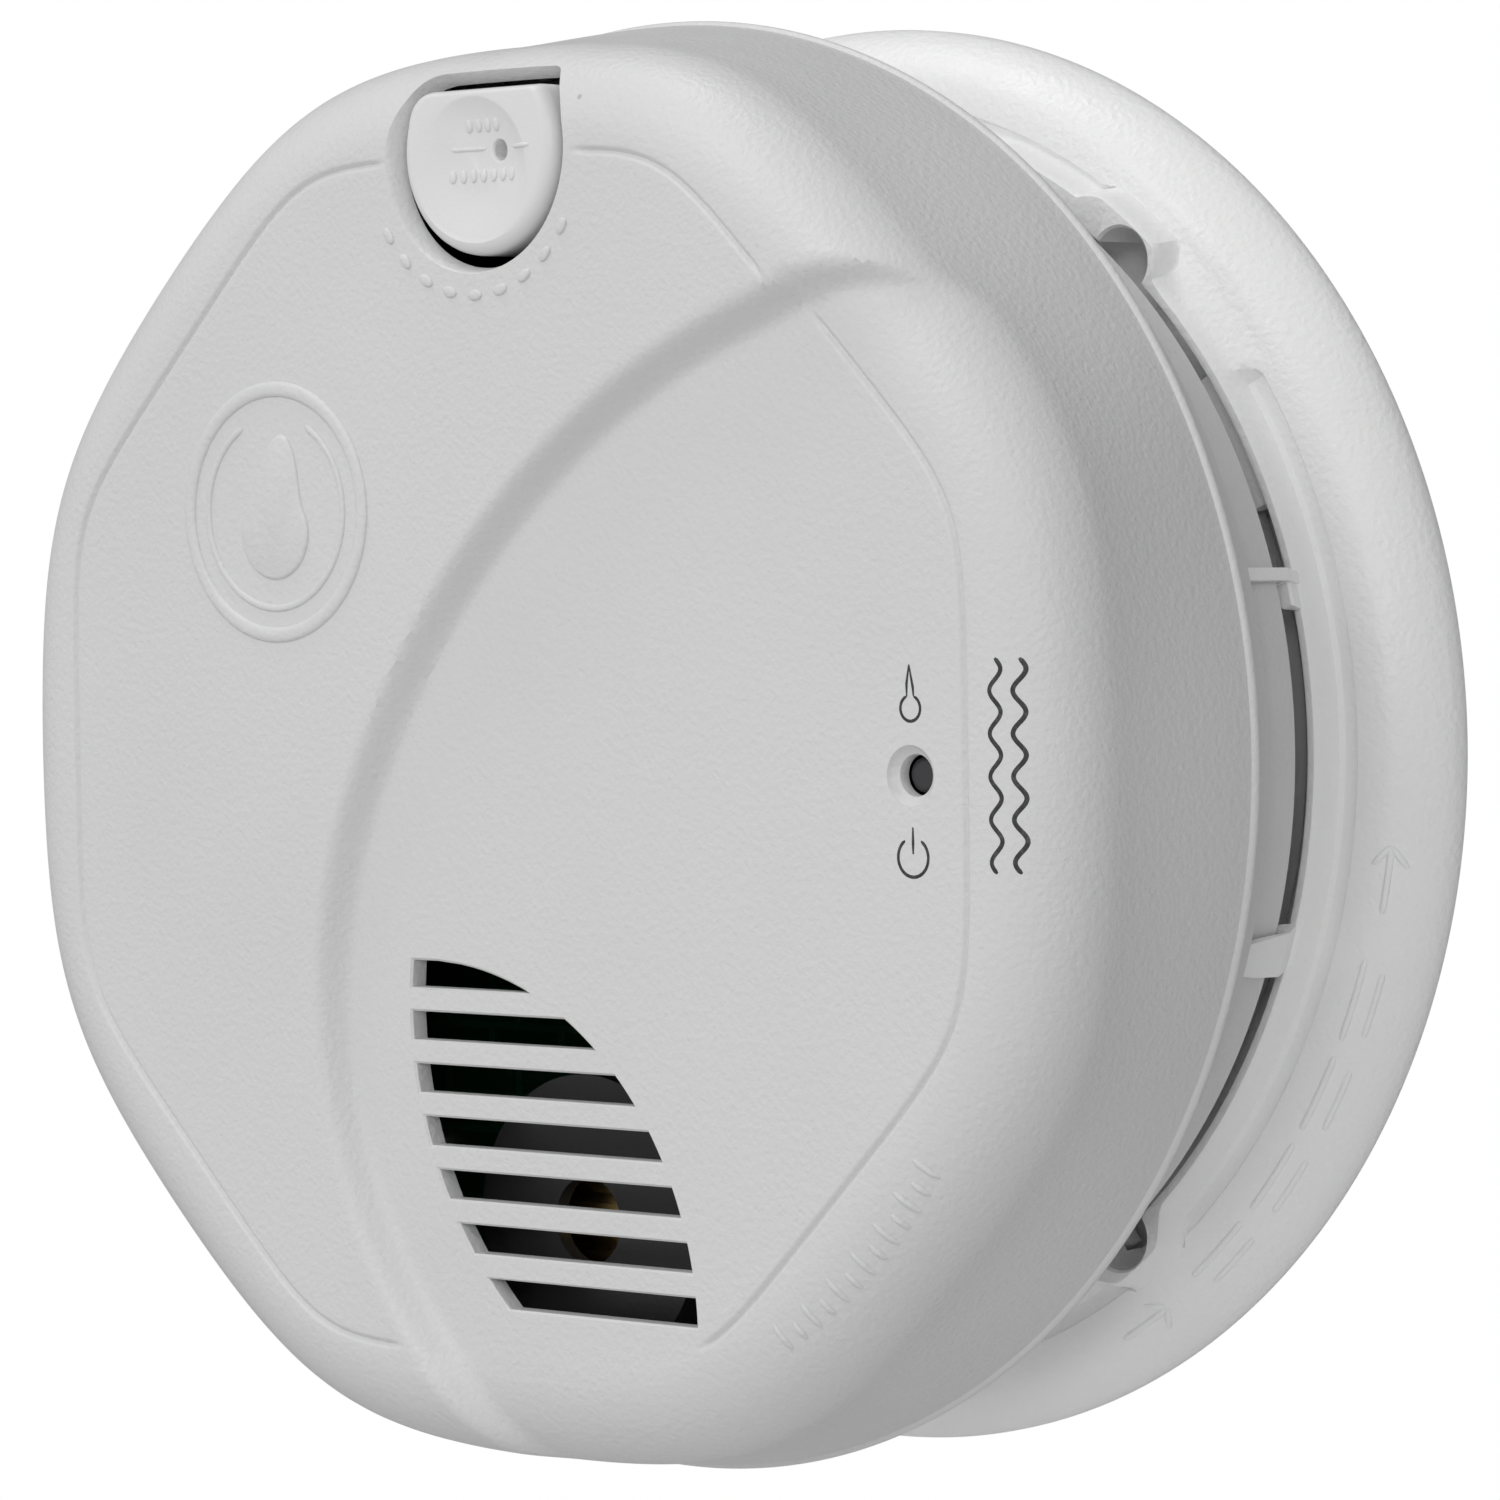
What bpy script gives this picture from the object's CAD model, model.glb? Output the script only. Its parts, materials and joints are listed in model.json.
# %% [markdown]
# # A smoke alarm, finished in Blender
# The CAD model gives every piece its place and size. This lesson adds what a bench model lacks:
# soft moulded edges, the fine spark grain of the steel mould, small relief marks and studio light.
# All numbers are millimetres seen face on: X to the right, Y up, and height off the wall.

# %% Load the frame
import json
import math
import bmesh
import bpy
import numpy as np
from mathutils import Matrix, Vector
from mathutils.bvhtree import BVHTree

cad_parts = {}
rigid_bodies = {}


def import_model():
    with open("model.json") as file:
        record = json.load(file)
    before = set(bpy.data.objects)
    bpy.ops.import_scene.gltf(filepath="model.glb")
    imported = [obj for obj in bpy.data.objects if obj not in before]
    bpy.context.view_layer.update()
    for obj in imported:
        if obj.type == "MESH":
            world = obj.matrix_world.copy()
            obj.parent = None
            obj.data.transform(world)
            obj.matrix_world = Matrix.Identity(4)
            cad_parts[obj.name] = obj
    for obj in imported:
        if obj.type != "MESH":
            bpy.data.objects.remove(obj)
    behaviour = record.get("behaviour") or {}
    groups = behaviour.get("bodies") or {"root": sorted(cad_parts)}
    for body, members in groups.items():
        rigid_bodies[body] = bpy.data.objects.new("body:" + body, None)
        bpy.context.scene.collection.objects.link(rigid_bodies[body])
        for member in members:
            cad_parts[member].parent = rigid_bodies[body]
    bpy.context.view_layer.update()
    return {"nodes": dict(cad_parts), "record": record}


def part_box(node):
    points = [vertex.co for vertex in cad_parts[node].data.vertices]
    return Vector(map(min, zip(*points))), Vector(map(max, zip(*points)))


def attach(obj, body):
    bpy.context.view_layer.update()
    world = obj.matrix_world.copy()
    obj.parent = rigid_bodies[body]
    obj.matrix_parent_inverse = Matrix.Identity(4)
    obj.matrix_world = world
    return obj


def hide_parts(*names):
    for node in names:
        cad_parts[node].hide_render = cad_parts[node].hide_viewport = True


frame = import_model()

MM = 0.001

# %% [markdown]
# ## From face-on millimetres to the wall
# The alarm hangs on a wall and looks along -Y. It is easier to draw it face on, like a plate on a
# table, so one helper turns (x, y, height) in millimetres into Blender's metres.

# %% Helpers for placing and building meshes
def stand(points):
    """Face-on (x, y, height) in millimetres to world metres."""
    p = np.asarray(points, float).reshape(-1, 3)
    return np.column_stack([p[:, 0], -p[:, 2], p[:, 1]]) * MM


def reach(node):
    """A CAD node's box as face-on millimetres: (low corner, high corner)."""
    low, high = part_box(node)
    return (
        np.array([low.x, low.z, -high.y]) / MM,
        np.array([high.x, high.z, -low.y]) / MM,
    )


def make_mesh(name, points, faces):
    """A new object from face-on points, with its place in its mesh."""
    mesh = bpy.data.meshes.new(name)
    mesh.from_pydata(stand(points).tolist(), [], [list(map(int, f)) for f in faces])
    mesh.validate()
    piece = bpy.data.objects.new(name, mesh)
    bpy.context.scene.collection.objects.link(piece)
    return piece


def tidy_normals(piece, merge=0.0005):
    """Merges doubles, then turns every face outwards."""
    work = bmesh.new()
    work.from_mesh(piece.data)
    bmesh.ops.remove_doubles(work, verts=work.verts, dist=merge * MM)
    bmesh.ops.recalc_face_normals(work, faces=work.faces)
    work.to_mesh(piece.data)
    work.free()


def smooth(piece, angle=32):
    """Smooth shading that keeps edges sharper than the angle crisp."""
    piece.data.shade_smooth()
    piece.data.set_sharp_from_angle(angle=math.radians(angle))


def grid_faces(rows, columns, closed_rows=False):
    """Quads for rows of points that each close into a ring."""
    faces = []
    for row in range(rows if closed_rows else rows - 1):
        nxt = (row + 1) % rows
        for column in range(columns):
            side = (column + 1) % columns
            faces.append(
                (
                    row * columns + column, row * columns + side, nxt * columns + side,
                    nxt * columns + column
                )
            )
    return faces


def settle(piece):
    """Applies the piece's modifiers, so that a plain mesh is left."""
    graph = bpy.context.evaluated_depsgraph_get()
    mesh = bpy.data.meshes.new_from_object(piece.evaluated_get(graph))
    piece.modifiers.clear()
    piece.data = mesh
    return piece


def cut(piece, cutters, operation="DIFFERENCE"):
    """Cuts, or joins, solid by solid, and removes the cutters."""
    for cutter in cutters:
        step = piece.modifiers.new("cut", "BOOLEAN")
        step.operation = operation
        step.solver = "EXACT"
        step.object = cutter
    settle(piece)
    for cutter in cutters:
        bpy.data.objects.remove(cutter)
    return piece


def stack(name, outlines):
    """A closed solid through rings of equal point count, from the first to the last."""
    count = len(outlines[0])
    points = np.concatenate(outlines)
    faces = grid_faces(len(outlines), count)
    faces.append(tuple(range(count - 1, -1, -1)))
    faces.append(tuple((len(outlines) - 1) * count + k for k in range(count)))
    piece = make_mesh(name, points, faces)
    tidy_normals(piece)
    return piece


def ring_points(radius, height, count=64, centre=(0.0, 0.0)):
    """A level circle of points."""
    turn = np.linspace(0, 2 * np.pi, count, endpoint=False)
    return np.column_stack(
        [
            centre[0] + radius * np.cos(turn), centre[1] + radius * np.sin(turn),
            np.full(count, float(height))
        ]
    )


def arc(centre, radius, start, end, steps):
    """Points of a round corner in a profile, angles in degrees."""
    turn = np.radians(np.linspace(start, end, steps))
    return [(centre[0] + radius * math.cos(a), centre[1] + radius * math.sin(a)) for a in turn]


# %% [markdown]
# ## Sizes read from the frame
# The driving sizes come from the CAD boxes, so the looks stay true if the model changes.

# %% Sizes
COVER_LOW, COVER_HIGH = reach("front_cover")
BRACKET_HIGH = reach("mounting_bracket")[1]
HOUSING_LOW, HOUSING_HIGH = reach("rear_housing")
BUTTON_HIGH = reach("test_button")[1]

RING_RADIUS = BRACKET_HIGH[0]
RIM_RADIUS = COVER_HIGH[0]
RIM_LEVEL = COVER_LOW[2]
EMBLEM_RISE = 0.35
FACE_LEVEL = COVER_HIGH[2] - EMBLEM_RISE
FACE_STEP = 2.9
LOW_FACE_LEVEL = FACE_LEVEL - FACE_STEP
WALL = 2.0
EDGE_RADIUS = 9.0
print(f"ring {RING_RADIUS:.2f}, rim {RIM_RADIUS:.2f} at {RIM_LEVEL:.2f}, face {FACE_LEVEL:.2f}")

# %% [markdown]
# ## Front cover
# The real cover is one injection moulding in white ABS, about two millimetres thick. Its outline is
# an octagon with bowed sides that melts into a round rim, its face drops by a step along a flowing
# line, and a shallow line frames the face. A box with bevels could not give such soft blends, so the
# skin is made from rings of points: each ring knows its outline and its height, and the step lowers
# the points that lie inside the flowing line. Rings lie along the frame line, so that stays crisp.

# %% The octagon and the flowing line
SEGMENTS = 480
THETA = np.linspace(0, 2 * np.pi, SEGMENTS, endpoint=False)


def octagon_radius(flat, corner):
    """Radius at every angle of an octagon with bowed sides: flat at mid-side, corner at a corner."""
    power = math.log(2) / math.log(flat / (math.cos(math.pi / 8) * corner))
    total = sum(np.maximum(0, np.cos(THETA - k * np.pi / 4)) ** power for k in range(8))
    return flat * total ** (-1 / power)


STEP_START = np.array([50.5, 41.7])
STEP_HEADING = math.radians(160.0)
STEP_ARCS = ((16.7, 40.0), (82.6, 45.0), (46.6, 64.0))
STEP_LINK = 9.4
STEP_TAIL = 45.0


def unit(angle):
    return np.array([math.cos(angle), math.sin(angle)])


def flowing_line(samples=40):
    """The foot of the step as points: a lead-in, three tangent arcs to the left and a tail."""
    place, heading = STEP_START, STEP_HEADING
    line = [place - STEP_TAIL * unit(heading), place]
    for number, (radius, turn) in enumerate(STEP_ARCS):
        for a in np.radians(np.linspace(0, turn, samples))[1:]:
            swing = unit(heading + a - math.pi / 2) - unit(heading - math.pi / 2)
            line.append(place + radius * swing)
        heading += math.radians(turn)
        place = line[-1]
        if number == 0:
            place = place + STEP_LINK * unit(heading)
            line.append(place)
    line.append(place + STEP_TAIL * unit(heading))
    return np.array(line)


LINE = flowing_line()


def step_distance(x, y):
    """Distance from the step's foot: positive on the lower part of the face."""
    p = np.column_stack([x, y])
    best = np.full(len(p), 1e9)
    sign = np.ones(len(p))
    for a, b in zip(LINE[:-1], LINE[1:]):
        along = b - a
        t = np.clip((p - a) @ along / (along @ along), 0, 1)
        gap = np.linalg.norm(p - (a + t[:, None] * along), axis=1)
        side = along[0] * (p - a)[:, 1] - along[1] * (p - a)[:, 0]
        nearer = gap < best - 1e-9
        best = np.where(nearer, gap, best)
        sign = np.where(nearer, np.sign(side), sign)
    return best * sign


def soft(t):
    """A ramp from 0 to 1 with rounded ends."""
    t = np.clip(t, 0, 1)
    return t * t * (3 - 2 * t)


STEP_WALL = 2.9
STEP_FOOT = 0.25


def sunk(x, y):
    """0 on the high part of the face, 1 on the low part, and a rounded slope between."""
    return soft((step_distance(x, y) + STEP_WALL - STEP_FOOT) / STEP_WALL)


print("the step's foot has", len(LINE), "points")

# %% The cover's skin, ring by ring
LINE_FLAT, LINE_CORNER = 56.5, 59.3
LINE_DEPTH, LINE_HALF = 0.42, 0.62
LINE_SPANS = ((-65.6, 45.0), (51.5, 76.5), (102.5, 257.0))
LINE_END = 1.3
FACE_FLAT, FACE_CORNER = 58.3, 59.7
MIDDLE_RADIUS = 5.0
SIDE_ANGLE = math.radians(81.0)
LOW_SPREAD = 0.42
BEAD_HEIGHT = 1.15
BEAD_BULGE = 0.42


def line_mask():
    """1 where the frame line is pressed in, 0 where the button or the step interrupts it."""
    angle = np.degrees(THETA)
    mask = np.zeros(SEGMENTS)
    for start, end in LINE_SPANS:
        for turn in (-360, 0, 360):
            inside = np.minimum(angle + turn - start, end - angle - turn)
            mask = np.maximum(mask, soft(inside / LINE_END + 0.5))
    return mask


def cover_rings():
    """(radius, height, share of the step, radial shift when low) for each ring, outside then inside."""
    line = octagon_radius(LINE_FLAT, LINE_CORNER)
    face = octagon_radius(FACE_FLAT, FACE_CORNER)
    mask = line_mask()
    rings = []
    for share in np.linspace(0, 1, 92)[:-1]:
        inner = line - LINE_HALF
        rings.append((MIDDLE_RADIUS + (inner - MIDDLE_RADIUS) * share, FACE_LEVEL, 1.0, 0.0))
    for offset in np.linspace(-LINE_HALF, LINE_HALF, 11):
        dip = LINE_DEPTH * math.exp(-((offset / 0.27) ** 2)) * mask
        rings.append((line + offset, FACE_LEVEL - dip, 1.0, 0.0))
    for angle in np.linspace(0, SIDE_ANGLE, 17)[1:]:
        out = np.maximum(face + EDGE_RADIUS * math.sin(angle), line + LINE_HALF + 0.25)
        fall = EDGE_RADIUS * (1 - math.cos(angle))
        rings.append((out, FACE_LEVEL - fall, 1.0, LOW_SPREAD * math.sin(angle)))
    top_radius, top_level = rings[-1][0], rings[-1][1]
    foot_level = RIM_LEVEL + BEAD_HEIGHT
    foot_radius = np.full(SEGMENTS, RIM_RADIUS - BEAD_BULGE)
    for v in np.linspace(0, 1, 13)[1:]:
        mix = soft(v) * 0.35 + v * 0.65
        rings.append(
            (
                top_radius + (foot_radius - top_radius) * mix,
                top_level + (foot_level - top_level) * v, 1 - v, LOW_SPREAD * (1 - v)
            )
        )
    for angle in np.linspace(50, -90, 9):
        a = math.radians(angle)
        out = RIM_RADIUS - BEAD_HEIGHT * 0.5 + BEAD_HEIGHT * 0.5 * math.cos(a)
        rings.append(
            (np.full(SEGMENTS, out), RIM_LEVEL + BEAD_HEIGHT * 0.5 * (1 + math.sin(a)), 0.0, 0.0)
        )
    inside = RIM_RADIUS - WALL
    rings.append((np.full(SEGMENTS, inside + 0.2), RIM_LEVEL, 0.0, 0.0))
    rings.append((np.full(SEGMENTS, inside), RIM_LEVEL + 0.25, 0.0, 0.0))
    for v in np.linspace(0, 1, 6)[1:]:
        radius = inside + (top_radius - WALL - inside) * v
        rings.append((radius, RIM_LEVEL + 2 + (top_level - RIM_LEVEL - 2) * v, v, LOW_SPREAD * v))
    for angle in np.linspace(SIDE_ANGLE, 0, 7)[1:]:
        out = face + (EDGE_RADIUS - WALL) * math.sin(angle)
        fall = EDGE_RADIUS - (EDGE_RADIUS - WALL) * math.cos(angle)
        rings.append((out, FACE_LEVEL - fall, 1.0, LOW_SPREAD * math.sin(angle)))
    for share in np.linspace(1, 0, 14)[1:]:
        rings.append((MIDDLE_RADIUS + (face - MIDDLE_RADIUS) * share, FACE_LEVEL - WALL, 1.0, 0.0))
    return rings


def cover_skin():
    """The cover as one closed skin with its step, frame line, rounded edge and rim bead."""
    points = []
    for radius, height, share, shift in cover_rings():
        x, y = radius * np.cos(THETA), radius * np.sin(THETA)
        low = sunk(x, y) * share
        out = radius + shift * low
        points.append(
            np.column_stack([out * np.cos(THETA), out * np.sin(THETA), height - FACE_STEP * low])
        )
    rows = len(points)
    faces = grid_faces(rows, SEGMENTS)
    outer, inner = rows * SEGMENTS, rows * SEGMENTS + 1
    last = (rows - 1) * SEGMENTS
    for k in range(SEGMENTS):
        side = (k + 1) % SEGMENTS
        faces.append((side, k, outer))
        faces.append((last + k, last + side, inner))
    middle_low = sunk(np.zeros(1), np.zeros(1))[0] * FACE_STEP
    middles = [(0, 0, FACE_LEVEL - middle_low), (0, 0, FACE_LEVEL - WALL - middle_low)]
    piece = make_mesh("cover_shell", np.concatenate([*points, middles]), faces)
    tidy_normals(piece)
    return piece


cover = cover_skin()
print("cover skin:", len(cover.data.polygons), "faces")

# %% [markdown]
# ## Openings in the cover
# The sounder's grille, the lamp hole and the button's well are cut in the skin. A moulded hole has a
# small round lip where the steel core met the cavity, so each cutter flares a little at the face.

# %% Cutters with a flared lip
SLOT_COUNT, SLOT_HEIGHT, SLOT_PITCH, FIRST_SLOT_TOP = 7, 2.75, 5.03, -19.5
GRILLE_LEFT = (26.1, -24.0, 39.0)
GRILLE_RIGHT = (-10.5, -53.5, 33.9)
LAMP_PLACE = (50.2, -1.0)
LAMP_HOLE, LAMP_SINK = 1.85, 2.75


def spread(outline, distance):
    """Moves a closed counter-clockwise outline outwards by a distance."""
    before = outline - np.roll(outline, 1, axis=0)
    after = np.roll(outline, -1, axis=0) - outline
    before /= np.linalg.norm(before, axis=1)[:, None]
    after /= np.linalg.norm(after, axis=1)[:, None]
    normal = np.column_stack([before[:, 1] + after[:, 1], -before[:, 0] - after[:, 0]])
    normal /= np.linalg.norm(normal, axis=1)[:, None]
    lean = np.maximum(0.5, normal[:, 0] * after[:, 1] - normal[:, 1] * after[:, 0])
    return outline + normal * (distance / lean)[:, None]


def lipped(name, outline, level, depth, lip=0.22):
    """A cutter that follows an outline down from the face, with a rounded flare at the top."""
    levels = [(level + 1.0, lip + 0.25), (level + 0.02, lip)]
    for a in np.linspace(20, 90, 4):
        levels.append((level - lip * math.sin(math.radians(a)), lip * (1 - math.sin(math.radians(a)))))
    levels.append((level - depth, 0.0))
    rings = []
    for height, growth in levels:
        ring = spread(outline, growth) if growth else outline
        rings.append(np.column_stack([ring, np.full(len(ring), height)]))
    return stack(name, rings)


def slot_outline(top, bottom, steps=12):
    """One slot of the grille: level top and bottom, ends on the two round borders."""
    heights = np.linspace(bottom, top, steps)
    cx, cy, radius = GRILLE_RIGHT
    right = cx + np.sqrt(np.maximum(radius ** 2 - (heights - cy) ** 2, 0))
    cx, cy, radius = GRILLE_LEFT
    left = cx - np.sqrt(radius ** 2 - (heights - cy) ** 2)
    return np.concatenate([np.column_stack([right, heights]), np.column_stack([left, heights])[::-1]])


cutters = []
for number in range(SLOT_COUNT):
    slot_top = FIRST_SLOT_TOP - number * SLOT_PITCH
    slot = slot_outline(min(slot_top, GRILLE_RIGHT[1] + GRILLE_RIGHT[2] - 0.02), slot_top - SLOT_HEIGHT)
    cutters.append(lipped(f"slot_{number}", slot, LOW_FACE_LEVEL, WALL + 3))
sink = [
    (LOW_FACE_LEVEL + 1, LAMP_SINK + 0.6), (LOW_FACE_LEVEL, LAMP_SINK),
    (LOW_FACE_LEVEL - 0.45, LAMP_SINK - 0.25)
]
sink += [
    (LOW_FACE_LEVEL - 0.85, LAMP_HOLE + 0.08), (LOW_FACE_LEVEL - 1.1, LAMP_HOLE),
    (LOW_FACE_LEVEL - 6, LAMP_HOLE)
]
cutters.append(stack("lamp_hole", [ring_points(r, h, 48, LAMP_PLACE) for h, r in sink]))
print("grille and lamp cutters:", len(cutters))

# %% [markdown]
# ## The button's well
# The button sits in a pocket whose wall slopes in from the face. Its outline is a disc with a flat
# top, square at the right end and round at the left; one function gives that outline at any growth.

# %% The button's outline and its well
BUTTON_PLACE = np.array([0.1, 57.1])
BUTTON_RADIUS, BUTTON_TOP = 9.9, 5.8
SQUARE_CORNER, ROUND_CORNER = 1.2, 3.4
BUTTON_POINTS = 180


def corner_cut(x, top, radius, corner):
    """Centre of a small round that touches the flat top and, from inside, the big circle."""
    height = top - corner
    return math.sqrt((radius - corner) ** 2 - height ** 2) * math.copysign(1, x), height


def button_outline(growth=0.0):
    """The outline, grown outwards, as points counter-clockwise from the lower right."""
    radius, top = BUTTON_RADIUS + growth, BUTTON_TOP + growth
    turn = np.linspace(0, 2 * np.pi, BUTTON_POINTS, endpoint=False)
    reach_out = np.full(BUTTON_POINTS, radius)
    high = np.sin(turn) > 1e-6
    flat = np.where(high, top / np.maximum(np.sin(turn), 1e-6), 1e9)
    reach_out = np.minimum(reach_out, flat)
    for side, corner in ((1, SQUARE_CORNER + 0.5 * growth), (-1, ROUND_CORNER + 0.5 * growth)):
        cx, cy = corner_cut(side, top, radius, corner)
        big = math.atan2(cy, cx)
        first, last = sorted((big, math.atan2(top, cx)))
        inside = (turn > first) & (turn < last)
        along = cx * np.cos(turn) + cy * np.sin(turn)
        rest = along ** 2 - (cx * cx + cy * cy - corner ** 2)
        reach_out = np.where(inside & (rest > 0), along + np.sqrt(np.maximum(rest, 0)), reach_out)
    return BUTTON_PLACE + np.column_stack([reach_out * np.cos(turn), reach_out * np.sin(turn)])


WELL_SLOPE = (
    (3.0, 2.3, 1.0, 0.0), (0.7, 1.95, 1.0, 0.0), (0.0, 1.72, 1.0, 0.0), (-0.14, 1.58, 1.0, -0.02),
    (-0.45, 1.42, 1.05, -0.1), (-1.3, 1.0, 1.3, -0.22), (-2.6, 0.8, 1.35, -0.26),
    (-3.6, 0.8, 0.75, -0.26), (-5.0, 0.8, 0.1, -0.26), (-9.0, 0.8, 0.0, -0.26),
)
well = []
for rise, growth, extra_top, sag in WELL_SLOPE:
    outline = button_outline(growth)
    above = soft((outline[:, 1] - BUTTON_PLACE[1] - 1.0) / 5.5)
    outline = outline + np.column_stack([np.full(BUTTON_POINTS, -sag), extra_top * above + sag])
    well.append(np.column_stack([outline, np.full(BUTTON_POINTS, FACE_LEVEL + rise)]))
cutters.append(stack("button_well", well))
cut(cover, cutters)
smooth(cover)
print("cover after cutting:", len(cover.data.polygons), "faces")

# %% [markdown]
# ## Raised marks on the cover
# A mould maker engraves marks in the steel, so they stand up from the plastic by a third of a
# millimetre, with soft shoulders. Each mark here is a stroke or a filled outline laid on the cover.
# To sit true on the rounded edge, its points are dropped on the cover's own skin with a BVH tree.

# %% Strokes and shapes that lie on the skin
def skin_tree(piece):
    """A search tree over a piece's faces, to lay marks on its skin."""
    mesh = piece.data
    return BVHTree.FromPolygons([v.co[:] for v in mesh.vertices], [p.vertices[:] for p in mesh.polygons])


cover_tree = skin_tree(cover)
MARK_ROOT = 0.25


def drop(tree, x, y, start=80.0):
    """The skin's point and normal below a face-on place, both face on and in millimetres."""
    hit, normal, _, _ = tree.ray_cast(Vector((x * MM, -start * MM, y * MM)), Vector((0, 1, 0)))
    return np.array([hit.x, hit.z, -hit.y]) / MM, np.array([normal.x, normal.z, -normal.y])


def stroke(path, width, rise, tree=None, closed=False, root=MARK_ROOT):
    """A raised line along face-on points, with round shoulders: (points, faces)."""
    path = np.asarray(path, float)
    tree = tree or cover_tree
    count = len(path)
    before = np.roll(path, 1, axis=0) if closed else np.concatenate([path[:1], path[:-1]])
    after = np.roll(path, -1, axis=0) if closed else np.concatenate([path[1:], path[-1:]])
    along = after - before
    along /= np.linalg.norm(along, axis=1)[:, None]
    section = [(-0.5, -root), (-0.5, 0.15 * rise), (-0.38, 0.72 * rise), (-0.2, 0.96 * rise), (0.0, rise)]
    section += [(-a, h) for a, h in reversed(section[:-1])]
    points = []
    for k in range(count):
        across = np.array([-along[k][1], along[k][0]])
        for offset, height in section:
            taper = 1.0
            if not closed and k in (0, count - 1):
                taper = 0.55
            spot = path[k] + across * offset * width * taper
            skin, normal = drop(tree, *spot)
            high = height if height < 0 or taper == 1.0 else height * 0.25
            points.append(skin + normal * high)
    rows, columns = count, len(section)
    faces = []
    for row in range(rows if closed else rows - 1):
        nxt = (row + 1) % rows
        for column in range(columns):
            side = (column + 1) % columns
            faces.append(
                (
                    row * columns + column, row * columns + side, nxt * columns + side,
                    nxt * columns + column
                )
            )
    if not closed:
        faces.append(tuple(range(columns)))
        faces.append(tuple((rows - 1) * columns + c for c in reversed(range(columns))))
    return np.array(points), faces


def pad(outline, rise, tree=None, root=MARK_ROOT, shoulder=0.16):
    """A raised flat mark inside a closed outline, with a soft shoulder: (points, faces)."""
    tree = tree or cover_tree
    outline = np.asarray(outline, float)
    rings = []
    for growth, height in (
        (0.0, -root), (0.0, 0.25 * rise), (-0.35 * shoulder, 0.72 * rise), (-shoulder, rise)
    ):
        ring = spread(outline, growth) if growth else outline
        rings.append([skin + normal * height for skin, normal in (drop(tree, *p) for p in ring)])
    count = len(outline)
    faces = grid_faces(len(rings), count)
    faces.append(tuple(range(count - 1, -1, -1)))
    faces.append(tuple((len(rings) - 1) * count + k for k in range(count)))
    return np.concatenate(rings), faces


def gather(name, shapes, angle=50):
    """One object from many (points, faces) shapes."""
    points, faces = [], []
    start = 0
    for shape_points, shape_faces in shapes:
        points.append(shape_points)
        faces += [tuple(int(k) + start for k in face) for face in shape_faces]
        start += len(shape_points)
    piece = make_mesh(name, np.concatenate(points), faces)
    tidy_normals(piece)
    smooth(piece, angle)
    return piece


def circle_path(centre, radius, start=0.0, end=360.0, count=48):
    """Points round an arc, degrees; a full circle leaves out its repeated last point."""
    turn = np.radians(np.linspace(start, end, count, endpoint=abs(end - start) < 359))
    return np.column_stack([centre[0] + radius * np.cos(turn), centre[1] + radius * np.sin(turn)])


def rounded_polygon(corners, radius, steps=5):
    """A closed outline whose corners are rounded off, counter-clockwise."""
    corners = np.asarray(corners, float)
    outline = []
    for k in range(len(corners)):
        here = corners[k]
        to_before = corners[k - 1] - here
        to_after = corners[(k + 1) % len(corners)] - here
        to_before /= np.linalg.norm(to_before)
        to_after /= np.linalg.norm(to_after)
        half = math.acos(np.clip(to_before @ to_after, -1, 1)) / 2
        back = radius / math.tan(half)
        start, end = here + to_before * back, here + to_after * back
        for t in np.linspace(0, 1, steps):
            outline.append((1 - t) ** 2 * start + 2 * t * (1 - t) * here + t ** 2 * end)
    return np.array(outline)


# %% The emblem: a flame drop in a ring, with an open arc between them
EMBLEM = np.array([-27.4, 23.5])
EMBLEM_RADIUS = 12.7


def flame_outline(scale):
    """A drop with a leaning tip, counter-clockwise from its right side."""
    turn = np.linspace(0, 2 * np.pi, 72, endpoint=False) - math.pi / 2
    lift = np.maximum(0, np.sin(turn))
    radius = 1.0 + 1.05 * lift ** 5
    x = radius * np.cos(turn) * (1 - 0.35 * lift ** 2) + 0.22 * lift ** 4
    return EMBLEM + scale * np.column_stack([x, radius * np.sin(turn) - 0.42])


def emblem_piece():
    shapes = [
        stroke(circle_path(EMBLEM, EMBLEM_RADIUS - 0.8, count=96), 1.5, EMBLEM_RISE - 0.02, closed=True)
    ]
    shapes.append(stroke(circle_path(EMBLEM, EMBLEM_RADIUS - 3.4, 118, 422, 80), 0.7, 0.22))
    shapes.append(pad(flame_outline(4.6), EMBLEM_RISE - 0.02, shoulder=0.35))
    return gather("cover_emblem", shapes)


emblem = emblem_piece()
print("emblem:", len(emblem.data.polygons), "faces")

# %% Dots below the button and a row of bars on the rounded edge
DOT_COUNT, DOT_RING, DOT_RADIUS, DOT_RISE = 9, 13.6, 0.52, 0.24
DOT_START, DOT_END = 214.0, 326.0


def oval(place, long_radius, short_radius, lean, count=20):
    """A small oval, turned by lean degrees."""
    turn = np.linspace(0, 2 * np.pi, count, endpoint=False)
    a = math.radians(lean)
    u, v = long_radius * np.cos(turn), short_radius * np.sin(turn)
    return np.column_stack(
        [place[0] + u * math.cos(a) - v * math.sin(a), place[1] + u * math.sin(a) + v * math.cos(a)]
    )


dots = []
for angle in np.linspace(DOT_START, DOT_END, DOT_COUNT):
    place = BUTTON_PLACE + DOT_RING * unit(math.radians(angle))
    dots.append(pad(oval(place, DOT_RADIUS * 1.7, DOT_RADIUS, angle + 90), DOT_RISE))
button_dots = gather("button_dots", dots)

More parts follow.
